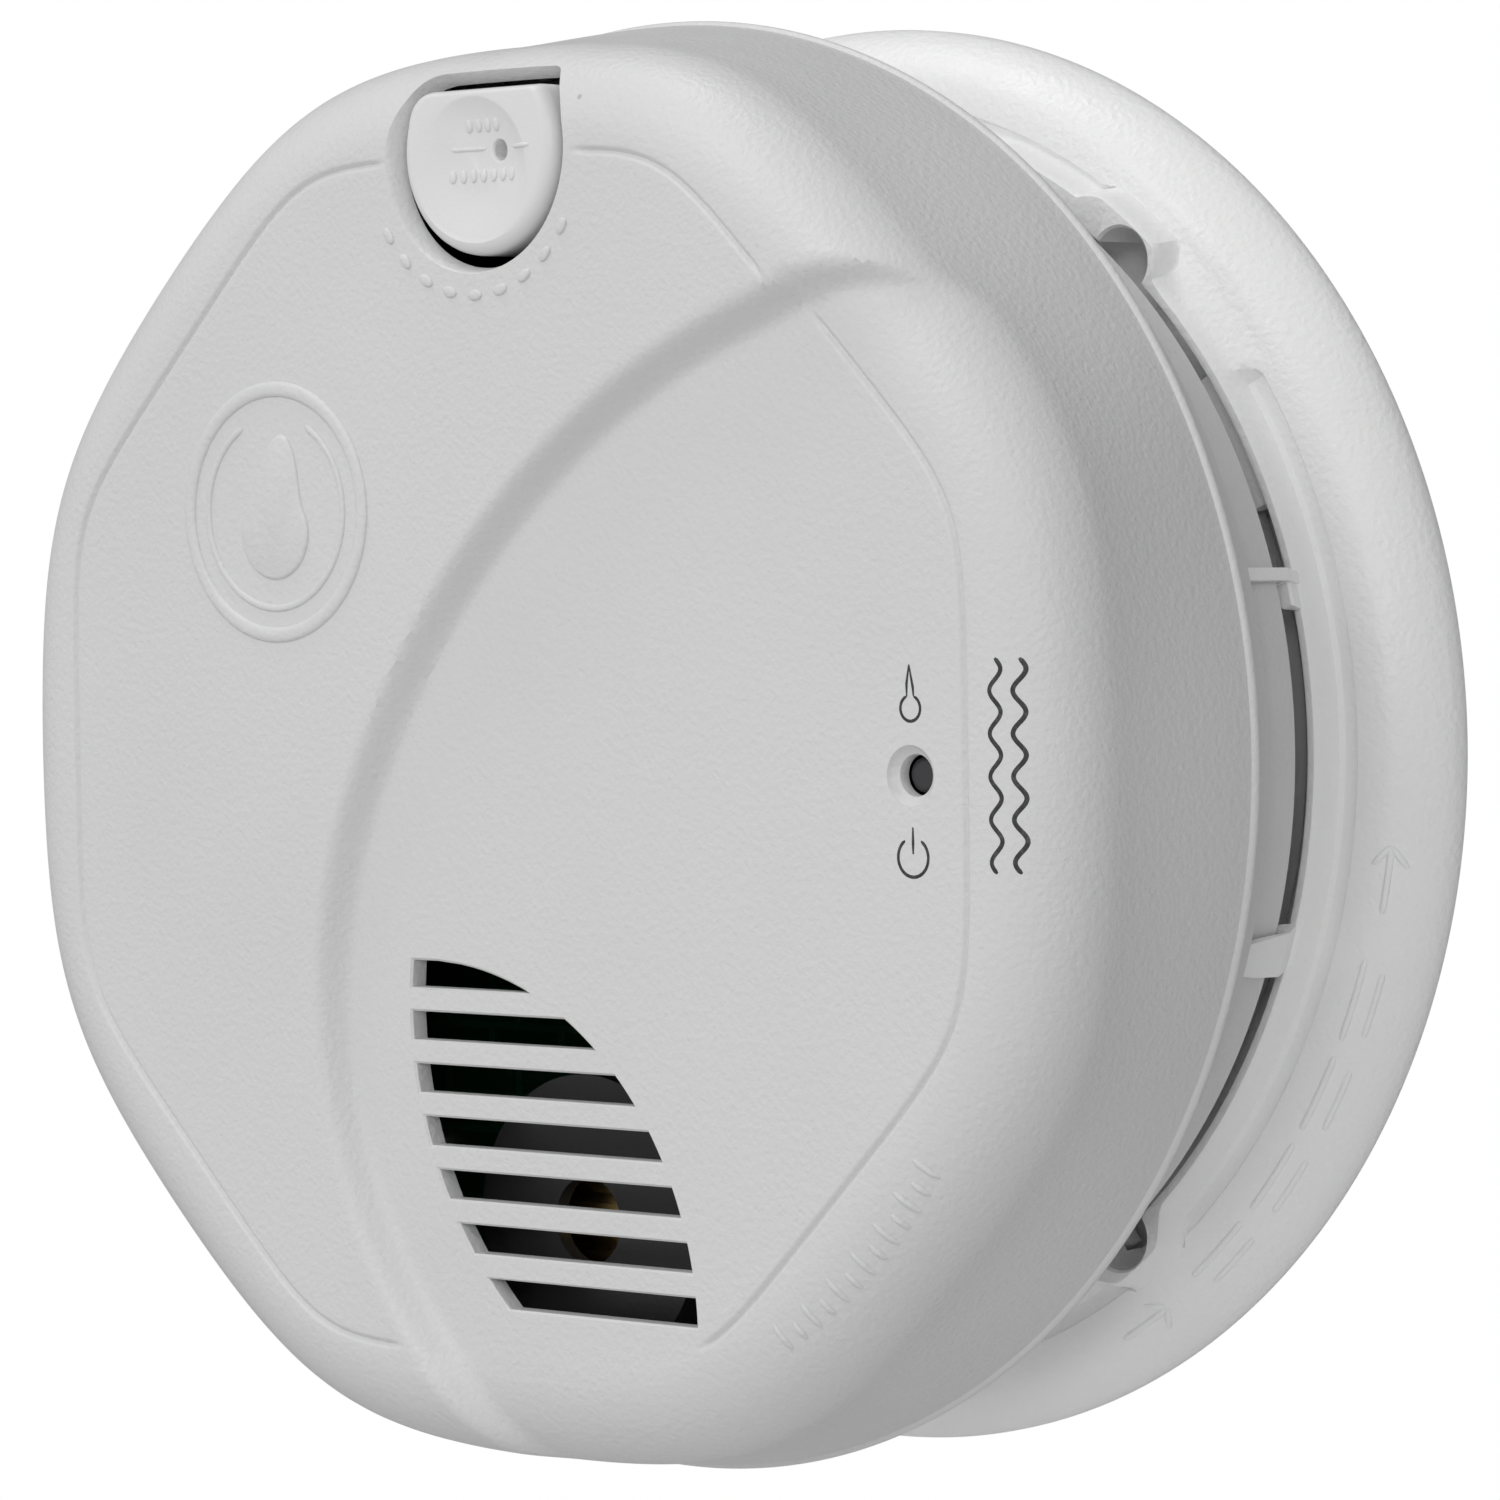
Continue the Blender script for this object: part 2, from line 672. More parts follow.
BAR_COUNT, BAR_START, BAR_END = 13, -57.5, -35.5
BAR_INNER, BAR_OUTER = 60.9, 63.6
bars = []
for number, angle in enumerate(np.linspace(BAR_START, BAR_END, BAR_COUNT)):
    direction = unit(math.radians(angle))
    inner = BAR_INNER + (0.0 if number % 2 == 0 else 0.9)
    path = [direction * r for r in np.linspace(inner, BAR_OUTER, 5)]
    bars.append(stroke(path, 0.62, 0.26))
edge_bars = gather("edge_bars", bars)
print("relief marks:", len(dots), "dots and", len(bars), "bars")

# %% Printed marks beside the lamp and on the edge
INK_RISE = 0.03


def thin(path, width, closed=False):
    """A flat printed line."""
    return stroke(path, width, INK_RISE, closed=closed, root=0.02)


flame = circle_path((50.3, 5.0), 1.15, -250, 70, 22)
FLAME_TIP = (50.2, 8.9)
print_shapes = [
    thin(flame, 0.3),
    thin([flame[-1], (50.62, 6.9), FLAME_TIP], 0.3),
    thin([FLAME_TIP, (49.9, 7.2), flame[0]], 0.3),
]
print_shapes.append(thin(circle_path((50.4, -8.3), 1.75, 122, 418, 30), 0.32))
print_shapes.append(thin([(50.4, -8.0), (50.4, -7.0), (50.4, -5.6)], 0.32))
WAVE_X, WAVE_LOW, WAVE_HIGH = 61.0, -9.5, 9.5
for shift in (-1.1, 1.1):
    ys = np.linspace(WAVE_LOW, WAVE_HIGH, 90)
    print_shapes.append(
        thin(np.column_stack([WAVE_X + shift + 0.55 * np.sin(ys * 2 * math.pi / 3.8), ys]), 0.42)
    )
prints = gather("printed_marks", print_shapes)
print("printed marks:", len(print_shapes))

# %% [markdown]
# ## The test button
# A separate moulding that drops into the well. Its top has a round finger dish, crisp where the
# cutter left the steel and fading out at the lower left, and a small hole in the middle. Rings of
# points run from that hole out to the outline and over a rolled edge, so the dish stays smooth.

# %% The button's body
BUTTON_FACE = BUTTON_HIGH[2]
BUTTON_FOOT = BUTTON_FACE - 6.6
BUTTON_ROLL = 1.5
PIP_PLACE = BUTTON_PLACE + np.array([2.3, -0.1])
PIP_RADIUS, PIP_DEPTH = 0.95, 3.2
DISH_PLACE = BUTTON_PLACE + np.array([-0.5, -1.9])
DISH_RADIUS, DISH_DEPTH = 6.95, 1.1
TOP_ROLL_SHARE = 0.35


def dish(x, y):
    """How far the finger dish lies below the button's face."""
    dx, dy = x - DISH_PLACE[0], y - DISH_PLACE[1]
    distance = np.hypot(dx, dy) / DISH_RADIUS
    toward = np.cos(np.arctan2(dy, dx) - math.radians(55))
    crisp = soft((toward - 0.05) / 0.75)
    firm = np.clip(1 - distance ** 3.2, 0, 1)
    gentle = soft(1.25 - 1.05 * distance) * 0.85
    return DISH_DEPTH * (crisp * firm + (1 - crisp) * gentle)


def rolled(inset):
    """The outline drawn in by an inset, but less so along the flat top, where the roll is tight."""
    outline = button_outline(-inset)
    above = soft((outline[:, 1] - BUTTON_PLACE[1] - 1.5) / 2.5)
    outline[:, 1] += above * inset * (1 - TOP_ROLL_SHARE)
    return outline


def button_piece():
    """The button as one closed skin, from the hole's floor over the dish and edge to the skirt."""
    turn = np.linspace(0, 2 * np.pi, BUTTON_POINTS, endpoint=False)
    rings = []
    hole_floor = BUTTON_FACE - PIP_DEPTH
    for radius, height in (
        (0.3, hole_floor), (PIP_RADIUS * 0.9, hole_floor + 0.05), (PIP_RADIUS, hole_floor + 0.3)
    ):
        rings.append(
            np.column_stack(
                [
                    PIP_PLACE[0] + radius * np.cos(turn), PIP_PLACE[1] + radius * np.sin(turn),
                    np.full(BUTTON_POINTS, height)
                ]
            )
        )
    inner = rolled(BUTTON_ROLL)
    direction = inner - PIP_PLACE
    angle = np.arctan2(direction[:, 1], direction[:, 0])
    start = PIP_PLACE + PIP_RADIUS * np.column_stack([np.cos(angle), np.sin(angle)])
    for share, drop_by in ((0.0, 0.25), (0.012, 0.07), (0.03, 0.0)):
        p = start + (inner - start) * share
        rings.append(np.column_stack([p, BUTTON_FACE - dish(p[:, 0], p[:, 1]) - drop_by]))
    for share in np.linspace(0.05, 1, 44):
        p = start + (inner - start) * share
        rings.append(np.column_stack([p, BUTTON_FACE - dish(p[:, 0], p[:, 1])]))
    for a in np.radians(np.linspace(0, 90, 8))[1:]:
        p = rolled(BUTTON_ROLL * (1 - math.sin(a)))
        rings.append(
            np.column_stack([p, np.full(BUTTON_POINTS, BUTTON_FACE - BUTTON_ROLL * (1 - math.cos(a)))])
        )
    for height in (BUTTON_FACE - 4.0, BUTTON_FOOT):
        rings.append(np.column_stack([button_outline(0.0), np.full(BUTTON_POINTS, height)]))
    for growth, height in ((-1.4, BUTTON_FOOT), (-1.6, BUTTON_FACE - 3.2)):
        rings.append(np.column_stack([button_outline(growth), np.full(BUTTON_POINTS, height)]))
    return stack("button_cap", rings)


button = button_piece()
stem_low, stem_high = reach("switch_plunger")
STEM_PLACE = (stem_low + stem_high)[:2] / 2
STEM_RADIUS = 2.2
STEM_FOOT = stem_high[2]
stem = stack("stem", [ring_points(r, h, 40, STEM_PLACE) for r, h in (
    (STEM_RADIUS - 0.3, STEM_FOOT), (STEM_RADIUS, STEM_FOOT + 0.3),
    (STEM_RADIUS, BUTTON_FOOT + 1), (STEM_RADIUS, BUTTON_FACE - 3.0))])
cut(button, [stem], "UNION")
smooth(button, 28)
print("button:", len(button.data.polygons), "faces, stem foot at", round(float(STEM_FOOT), 2))

# %% Raised lines and signs on the button
button_tree = skin_tree(button)
LINE_Y = BUTTON_PLACE[1] + 0.15
signs = [
    stroke([(x, LINE_Y) for x in np.linspace(-3.7, 0.5, 12)], 0.42, 0.17, button_tree),
    stroke([(x, LINE_Y) for x in np.linspace(4.4, 7.0, 8)], 0.42, 0.17, button_tree),
]
for row_y, row_x in ((59.4, np.linspace(-1.4, 2.2, 4)), (54.7, np.linspace(-3.6, 4.2, 7))):
    for x in row_x:
        signs.append(pad(oval((x, row_y), 0.42, 0.62, 0), 0.2, button_tree, shoulder=0.12))
button_signs = gather("button_signs", signs)
print("button signs:", len(signs))

# %% [markdown]
# ## The mounting bracket
# The trim ring against the wall is a second moulding. Its crown is a soft convex band, and a collar
# stands up inside it to shroud the alarm's foot. The collar steps outwards round three screwdriver
# notches, so its radius changes with the angle: the ring is built as a grid of angle and profile,
# and the plate, its screw slots and the notches are added and cut as solids.

# %% The ring: a profile that changes with the angle
COLLAR_TOP = 11.0
COLLAR_INNER = 60.2
PLATE_TOP = 2.4
NOTCH_ANGLES = (50.0, -52.0, 87.0)
NOTCH_RADIUS, NOTCH_FLOOR = 3.3, 4.0
RING_SEGMENTS = 540
RING_THETA = np.linspace(0, 2 * np.pi, RING_SEGMENTS, endpoint=False)


def around(middle, half, ramp):
    """1 within half degrees of the middle angle, fading to 0 over the ramp."""
    away = np.abs((np.degrees(RING_THETA) - middle + 180) % 360 - 180)
    return soft((half + ramp - away) / ramp)


def lip_shift():
    """How far the collar's lip moves outwards at each angle: it wraps the three notches."""
    wrap = around(50.4, 2.4, 2.6)
    for angle, ramp in ((52.5, 5.0), (87.0, 4.0), (-52.0, 4.0)):
        wrap = np.maximum(wrap, around(angle, 2.2, ramp))
    shoulder = around(59.0, 7.5, 8.0)
    return np.maximum(LIP_WRAP * wrap, LIP_SHOULDER * shoulder)


LIP_WRAP, LIP_SHOULDER = 2.7, 1.2
CROWN = (
    (71.0, 0.4), (71.0, 1.2), (70.9, 1.85), (70.7, 2.5), (70.38, 3.2), (69.95, 3.95),
    (69.4, 4.75), (68.7, 5.55),
    (67.9, 6.3), (67.1, 6.9), (66.4, 7.3), (65.2, 7.68), (64.4, 7.92), (63.95, 8.0),
)


def crown_level(radius):
    """Height of the crown at a radius."""
    line = np.array(CROWN[::-1])
    return np.interp(radius, line[:, 0], line[:, 1])


def ring_rows():
    """Rows of (radius, height) at every angle, outside to inside, then back underneath."""
    shift = lip_shift()
    bare = around(40.2, 5.6, 1.3)
    rows = [(RING_RADIUS - 0.35, 0.0), (RING_RADIUS - 0.1, 0.12), *CROWN[:11]]
    foot = 61.95 + shift
    ledge = (
        (65.2, 7.68, 65.2, 7.78, 1.2), (64.4, 7.92, 64.2, 8.2, 0.8),
        (63.95, 8.0, 63.4, 8.55, 0.5), (63.72, 7.74, 62.85, 8.85, 0.38),
        (63.2, 7.6, 62.45, 9.1, 0.25), (62.4, 7.74, 62.15, 9.3, 0.12),
    )
    for radius, height, bare_radius, bare_height, room in ledge:
        out = np.maximum(radius + (bare_radius - radius) * bare, foot + room)
        rows.append((out, np.where(out > 64.0, crown_level(out), height + (bare_height - height) * bare)))
    for inset, height, bare_height in (
        (0.0, 8.15, 9.5), (0.2, 8.8, 9.8), (0.45, 10.2, 10.35), (0.6, 10.7, 10.75),
        (0.85, COLLAR_TOP, COLLAR_TOP)
    ):
        rows.append((foot - inset, height + (bare_height - height) * bare))
    rows += [
        (COLLAR_INNER + 0.35, COLLAR_TOP), (COLLAR_INNER + 0.1, COLLAR_TOP - 0.1),
        (COLLAR_INNER, COLLAR_TOP - 0.4), (COLLAR_INNER, 5.0)
    ]
    rows += [
        (COLLAR_INNER, 0.0), (COLLAR_INNER + 1.2, 0.0), (COLLAR_INNER + 1.2, 5.0), (66.4, 5.0),
        (68.4, 3.2)
    ]
    rows += [(69.1, 1.2), (69.1, 0.0)]
    return rows


def bracket_ring():
    points = []
    for radius, height in ring_rows():
        radius = np.broadcast_to(radius, (RING_SEGMENTS,))
        points.append(
            np.column_stack(
                [
                    radius * np.cos(RING_THETA), radius * np.sin(RING_THETA),
                    np.broadcast_to(height, (RING_SEGMENTS,))
                ]
            )
        )
    piece = make_mesh(
        "bracket_plate", np.concatenate(points),
        grid_faces(len(points), RING_SEGMENTS, closed_rows=True)
    )
    tidy_normals(piece)
    return piece


bracket = bracket_ring()
print("bracket ring:", len(bracket.data.polygons), "faces")

# %% Plate, tabs, posts, slots and notches
WINDOW = (60.0, 44.0, 8.0)
SLOT_WIDTH = 4.6
WIDE_SPACING, WIDE_SLOT = 86.1, 12.0
TALL_SPACING, TALL_SLOT = 69.9, 9.0
TAB_ANGLES = (30.0, 120.0, 210.0, 300.0)
TAB_LEVEL, TAB_HEIGHT, TAB_SPAN = 6.3, 1.6, 14.0


def prism(name, outline, low, high, bevel=0.0):
    """A straight block over an outline, with an optional small bevel at the top."""
    rings = [np.column_stack([outline, np.full(len(outline), low)])]
    if bevel:
        rings.append(np.column_stack([outline, np.full(len(outline), high - bevel)]))
        rings.append(
            np.column_stack([spread(outline, -bevel * 0.35), np.full(len(outline), high - bevel * 0.3)])
        )
        outline = spread(outline, -bevel)
    rings.append(np.column_stack([outline, np.full(len(outline), high)]))
    return stack(name, rings)


def slot_shape(centre, length, width, lean=0.0, steps=12):
    """A round-ended slot."""
    half = (length - width) / 2
    right = [
        (half + width / 2 * math.cos(a), width / 2 * math.sin(a))
        for a in np.radians(np.linspace(-90, 90, steps))
    ]
    left = [(-x, -y) for x, y in right]
    a = math.radians(lean)
    turned = [
        (x * math.cos(a) - y * math.sin(a), x * math.sin(a) + y * math.cos(a))
        for x, y in right + left
    ]
    return np.array(turned) + np.asarray(centre)


def wedge(inner, outer, middle, span, steps=9):
    """The outline of a piece of a round wall."""
    turn = np.radians(np.linspace(middle - span / 2, middle + span / 2, steps))
    out = np.column_stack([outer * np.cos(turn), outer * np.sin(turn)])
    back = np.column_stack([inner * np.cos(turn), inner * np.sin(turn)])[::-1]
    return np.concatenate([out, back])


rectangle = np.array([(-1, -1), (1, -1), (1, 1), (-1, 1)], float)
plate_window = rounded_polygon(rectangle * np.array(WINDOW[:2]) / 2, WINDOW[2], 9)
joins = [stack("plate", [ring_points(COLLAR_INNER + 0.8, h, 180) for h in (0.0, PLATE_TOP)])]
for angle in TAB_ANGLES:
    joins.append(
        prism(
            "tab", wedge(56.5, COLLAR_INNER + 0.5, angle, TAB_SPAN, 15), TAB_LEVEL,
            TAB_LEVEL + TAB_HEIGHT, 0.3
        )
    )
cut(bracket, joins, "UNION")
holes = [prism("window", plate_window, -1, PLATE_TOP + 1)]
for side in (-1, 1):
    holes.append(
        prism("wide", slot_shape((side * WIDE_SPACING / 2, 0), WIDE_SLOT, SLOT_WIDTH), -1, PLATE_TOP + 1)
    )
    holes.append(
        prism(
            "tall", slot_shape((0, side * TALL_SPACING / 2), TALL_SLOT, SLOT_WIDTH, 90), -1,
            PLATE_TOP + 1
        )
    )
for angle in NOTCH_ANGLES:
    centre = COLLAR_INNER * unit(math.radians(angle))
    holes.append(stack("notch", [ring_points(r, h, 48, centre) for r, h in (
        (NOTCH_RADIUS, NOTCH_FLOOR), (NOTCH_RADIUS, COLLAR_TOP - 0.3),
        (NOTCH_RADIUS + 0.25, COLLAR_TOP), (NOTCH_RADIUS + 0.25, COLLAR_TOP + 1))]))
cut(bracket, holes)
print("bracket after cutting:", len(bracket.data.polygons), "faces")

# %% Two guide posts that bridge the gap to the alarm's drum
POST_TOP = BRACKET_HIGH[2]
DRUM_RADIUS = 62.0


def post_rings(angle, levels):
    """A post on the collar's lip: (height, span in degrees, inner radius, outer radius)."""
    rings = []
    for height, span, inner, outer in levels:
        outline = wedge(inner, outer, angle, span)
        rings.append(np.column_stack([outline, np.full(len(outline), height)]))
    return stack("post", rings)


FOOT_IN, STAND_IN = COLLAR_INNER + 0.3, DRUM_RADIUS + 0.3


def thin_post(angle):
    """A thin rib with a block at its foot."""
    rib = [
        (10.0, 1.1, FOOT_IN, 61.2), (11.3, 1.1, FOOT_IN, 61.6), (13.9, 1.1, FOOT_IN, 62.6),
        (13.95, 1.1, STAND_IN, 62.7)
    ]
    rib += [(POST_TOP - 0.3, 1.1, STAND_IN, 63.1), (POST_TOP, 0.8, STAND_IN, 62.9)]
    block = [
        (10.0, 2.6, FOOT_IN, 61.0), (11.3, 2.6, FOOT_IN, 61.3), (12.8, 2.4, FOOT_IN, 61.9),
        (13.1, 2.0, FOOT_IN, 61.7)
    ]
    return [post_rings(angle, rib), post_rings(angle - 1.5, block)]


def broad_post(angle):
    """A rounded wedge, broad at the foot."""
    levels = [
        (10.0, 3.6, FOOT_IN, 60.9), (11.0, 4.1, FOOT_IN, 61.2), (12.2, 4.2, FOOT_IN, 61.8),
        (13.9, 4.0, FOOT_IN, 62.6)
    ]
    levels += [
        (13.95, 4.0, STAND_IN, 62.6), (18.0, 3.4, STAND_IN, 63.0), (21.5, 2.6, STAND_IN, 63.0),
        (POST_TOP, 1.8, STAND_IN, 62.8)
    ]
    return [post_rings(angle, levels)]


cut(bracket, thin_post(15.0) + broad_post(-18.0), "UNION")
smooth(bracket, 30)
print("bracket with posts:", len(bracket.data.polygons), "faces")

# %% Arrows and short strokes raised on the crown, which show the way to turn
bracket_tree = skin_tree(bracket)


ARROW_WIDTH, ARROW_RISE, ARROW_HEAD, ARROW_BACK = 0.55, 0.28, 1.35, 1.6


def turn_arrow(radius, start, end):
    """An arrow along the ring, with its head at the end angle."""
    count = 12
    shaft = circle_path((0, 0), radius, start, end, count)
    tip = shaft[-1]
    back = math.radians(end - ARROW_BACK)
    shapes = [stroke(shaft, ARROW_WIDTH, ARROW_RISE, bracket_tree)]
    for side in (-ARROW_HEAD, ARROW_HEAD):
        tail = (radius + side) * unit(back)
        path = [tail + (tip - tail) * t for t in np.linspace(0, 1, 5)]
        shapes.append(stroke(path, ARROW_WIDTH, ARROW_RISE, bracket_tree))
    return shapes


ring_marks = turn_arrow(67.4, -59.5, -54.0) + turn_arrow(67.4, -13.5, -8.0)
for start, end in ((-50.0, -43.0), (-41.5, -34.5), (-33.0, -26.0), (-24.5, -17.5)):
    ring_marks.append(stroke(circle_path((0, 0), 66.9, start, end, 16), 0.55, 0.26, bracket_tree))
    ring_marks.append(
        stroke(circle_path((0, 0), 68.4, start + 0.8, end - 0.8, 16), 0.45, 0.22, bracket_tree)
    )
bracket_marks = gather("bracket_marks", ring_marks)
print("bracket marks:", len(ring_marks))

# %% [markdown]
# ## Rows on an arc with Geometry Nodes
# The vents repeat round the alarm. A small Geometry Nodes tree makes such a row:
# it lays points on an arc, puts a copy of one object on each, makes the copies real and gives them
# a finish. Its inputs have names, so each row sets its own count, radius, height and angles.

# %% Tree: a row of copies on an arc
def arc_tree():
    tree = bpy.data.node_groups.new("row_on_an_arc", "GeometryNodeTree")
    face = tree.interface.new_socket
    face("Geometry", in_out="INPUT", socket_type="NodeSocketGeometry")
    face("Geometry", in_out="OUTPUT", socket_type="NodeSocketGeometry")
    face("Count", in_out="INPUT", socket_type="NodeSocketInt")
    for name in ("Radius", "Height", "Start", "End"):
        face(name, in_out="INPUT", socket_type="NodeSocketFloat")
    face("Piece", in_out="INPUT", socket_type="NodeSocketObject")
    face("Finish", in_out="INPUT", socket_type="NodeSocketMaterial")
    make = tree.nodes.new
    source, result = make("NodeGroupInput"), make("NodeGroupOutput")
    wire = tree.links.new

    def calculate(operation, first, second):
        made = make("ShaderNodeMath")
        made.operation = operation
        for socket, value in zip(made.inputs, (first, second)):
            if isinstance(value, (int, float)):
                socket.default_value = value
            else:
                wire(value, socket)
        return made.outputs[0]

    line = make("GeometryNodeMeshLine")
    wire(source.outputs["Count"], line.inputs["Count"])
    share = calculate(
        "DIVIDE", make("GeometryNodeInputIndex").outputs[0],
        calculate("SUBTRACT", source.outputs["Count"], 1.0)
    )
    swing = calculate(
        "MULTIPLY", share, calculate("SUBTRACT", source.outputs["End"], source.outputs["Start"])
    )
    angle = calculate("ADD", swing, source.outputs["Start"])
    spot = make("ShaderNodeCombineXYZ")
    wire(
        calculate("MULTIPLY", calculate("COSINE", angle, 0.0), source.outputs["Radius"]),
        spot.inputs["X"]
    )
    wire(calculate("MULTIPLY", source.outputs["Height"], -1.0), spot.inputs["Y"])
    wire(calculate("MULTIPLY", calculate("SINE", angle, 0.0), source.outputs["Radius"]), spot.inputs["Z"])
    move = make("GeometryNodeSetPosition")
    wire(line.outputs["Mesh"], move.inputs["Geometry"])
    wire(spot.outputs["Vector"], move.inputs["Position"])
    turn = make("ShaderNodeCombineXYZ")
    wire(calculate("MULTIPLY", angle, -1.0), turn.inputs["Y"])
    piece = make("GeometryNodeObjectInfo")
    wire(source.outputs["Piece"], piece.inputs["Object"])
    copies = make("GeometryNodeInstanceOnPoints")
    wire(move.outputs["Geometry"], copies.inputs["Points"])
    wire(piece.outputs["Geometry"], copies.inputs["Instance"])
    wire(turn.outputs["Vector"], copies.inputs["Rotation"])
    real = make("GeometryNodeRealizeInstances")
    wire(copies.outputs["Instances"], real.inputs["Geometry"])
    finish = make("GeometryNodeSetMaterial")
    wire(real.outputs["Geometry"], finish.inputs["Geometry"])
    wire(source.outputs["Finish"], finish.inputs["Material"])
    wire(finish.outputs["Geometry"], result.inputs["Geometry"])
    return tree


ARC_TREE = arc_tree()


def row_on_arc(name, seed, count, radius, height, start, end, finish=None):
    """Copies of the seed object on an arc: millimetres and degrees, angles face on."""
    piece = bpy.data.objects.new(name, bpy.data.meshes.new(name))
    bpy.context.scene.collection.objects.link(piece)
    maker = piece.modifiers.new("row", "NODES")
    maker.node_group = ARC_TREE
    values = {
        "Count": count, "Radius": radius * MM, "Height": height * MM,
        "Start": math.radians(start), "End": math.radians(end), "Piece": seed, "Finish": finish,
    }
    for item in ARC_TREE.interface.items_tree:
        if item.in_out == "INPUT" and item.name in values:
            maker[item.identifier] = values[item.name]
    settle(piece)
    bpy.data.objects.remove(seed)
    return piece


print("tree", ARC_TREE.name, "has", len(ARC_TREE.nodes), "nodes")

# %% [markdown]
# ## The rear housing
# A drum that hangs the alarm on its bracket: a foot that dives into the collar, a drum with the
# smoke vents under its shoulder, and a band that meets the cover's rim. It is turned from a profile
# with small rounds at every edge, as the moulded part has, and the openings are cut in it.

# %% Turned body
FOOT_RADIUS, BAND_RADIUS = 55.5, HOUSING_HIGH[0] - 1.65
HOUSING_BACK, SEAT_TOP = HOUSING_LOW[2], HOUSING_HIGH[2]
DRUM_BACK, BAND_BACK = 14.6, 24.0
WALL_BACK = 1.8


def housing_profile():
    """Outside from the middle of the back to the seat, then inside back to the middle."""
    foot, drum, band, seat = FOOT_RADIUS, DRUM_RADIUS, BAND_RADIUS, HOUSING_HIGH[0]
    line = [(0, HOUSING_BACK)] + arc((foot - 0.8, HOUSING_BACK + 0.8), 0.8, -90, 0, 5)
    line += arc((foot + 0.4, DRUM_BACK - 0.4), 0.4, 180, 90, 3)
    line += arc((drum - 0.8, DRUM_BACK + 0.8), 0.8, -90, 0, 6)
    line += arc((drum - 0.15, BAND_BACK - 0.35), 0.35, 180, 90, 3)
    line += arc((band - 1.0, BAND_BACK + 0.35), 0.35, -90, 0, 4)
    line += [(band - 0.1, RIM_LEVEL - 0.9), (band - 0.25, RIM_LEVEL - 0.5), (band - 0.5, RIM_LEVEL + 0.4)]
    line += [(seat, RIM_LEVEL + 0.4), (seat, SEAT_TOP - 0.3), (seat - 0.3, SEAT_TOP)]
    inner = [
        (band - WALL_BACK, SEAT_TOP), (band - WALL_BACK, BAND_BACK + WALL_BACK),
        (drum - WALL_BACK, BAND_BACK + WALL_BACK)
    ]
    inner += [(drum - WALL_BACK, DRUM_BACK + WALL_BACK), (foot - WALL_BACK, DRUM_BACK + WALL_BACK)]
    inner += [(foot - WALL_BACK, HOUSING_BACK + WALL_BACK), (0, HOUSING_BACK + WALL_BACK)]
    return line + inner


def turned_body(name, profile, count=384):
    """Turns an open profile, whose two ends lie on the axis, into a closed solid."""
    rings = [ring_points(r, h, count) for r, h in profile[1:-1]]
    points = np.concatenate([*rings, [(0, 0, profile[0][1]), (0, 0, profile[-1][1])]])
    faces = grid_faces(len(rings), count)
    first, last, base = len(rings) * count, len(rings) * count + 1, (len(rings) - 1) * count
    for k in range(count):
        faces.append(((k + 1) % count, k, first))
        faces.append((base + k, base + (k + 1) % count, last))
    piece = make_mesh(name, points, faces)
    tidy_normals(piece)
    return piece


housing = turned_body("housing_drum", housing_profile())
print("housing body:", len(housing.data.polygons), "faces")

# %% Bay, vents, inlet, screw towers and lugs
DRAWER_LOW, DRAWER_HIGH = reach("battery_drawer")
PANEL_GAP = 0.4
BAY_HALF = DRAWER_HIGH[1] + PANEL_GAP
BAY_FLOOR = DRAWER_LOW[2] - PANEL_GAP
BAY_ROOF = RIM_LEVEL - 0.1
BAY_END = reach("battery_terminals")[1][0] + 3.0
BAY_WALL = 1.4
INLET_LOW, INLET_HIGH = reach("power_inlet")
SCREW_PLACES = [51.5 * unit(math.radians(a)) for a in (50.0, 130.0, 232.0, 318.0)]
BOARD_LEVEL = reach("circuit_board")[0][2]


def straight_block(name, x_low, x_high, y_low, y_high, low, high):
    outline = np.array([(x_low, y_low), (x_high, y_low), (x_high, y_high), (x_low, y_high)], float)
    return prism(name, outline, low, high)


bay = straight_block(
    "bay", -DRUM_RADIUS + 1.0, BAY_END + BAY_WALL, -BAY_HALF - BAY_WALL, BAY_HALF + BAY_WALL,
    BAY_FLOOR - BAY_WALL, BAY_ROOF + BAY_WALL
)
trim = stack("trim", [ring_points(DRUM_RADIUS - 0.7, h, 200) for h in (DRUM_BACK + 0.4, SEAT_TOP)])
low_trim = stack(
    "low_trim",
    [ring_points(FOOT_RADIUS - 0.7, h, 200) for h in (BAY_FLOOR - BAY_WALL - 1, DRUM_BACK + 1.0)]
)
cut(trim, [low_trim], "UNION")
cut(bay, [trim], "INTERSECT")
additions = [bay]
for place in SCREW_PLACES:
    additions.append(
        stack("tower", [ring_points(3.4, h, 32, place) for h in (HOUSING_BACK + 1.2, BOARD_LEVEL)])
    )
for angle in TAB_ANGLES:
    additions.append(
        prism("lug", wedge(FOOT_RADIUS - 0.5, COLLAR_INNER - 0.5, angle, 11.0, 13), 4.35, 5.95, 0.25)
    )
cut(housing, additions, "UNION")

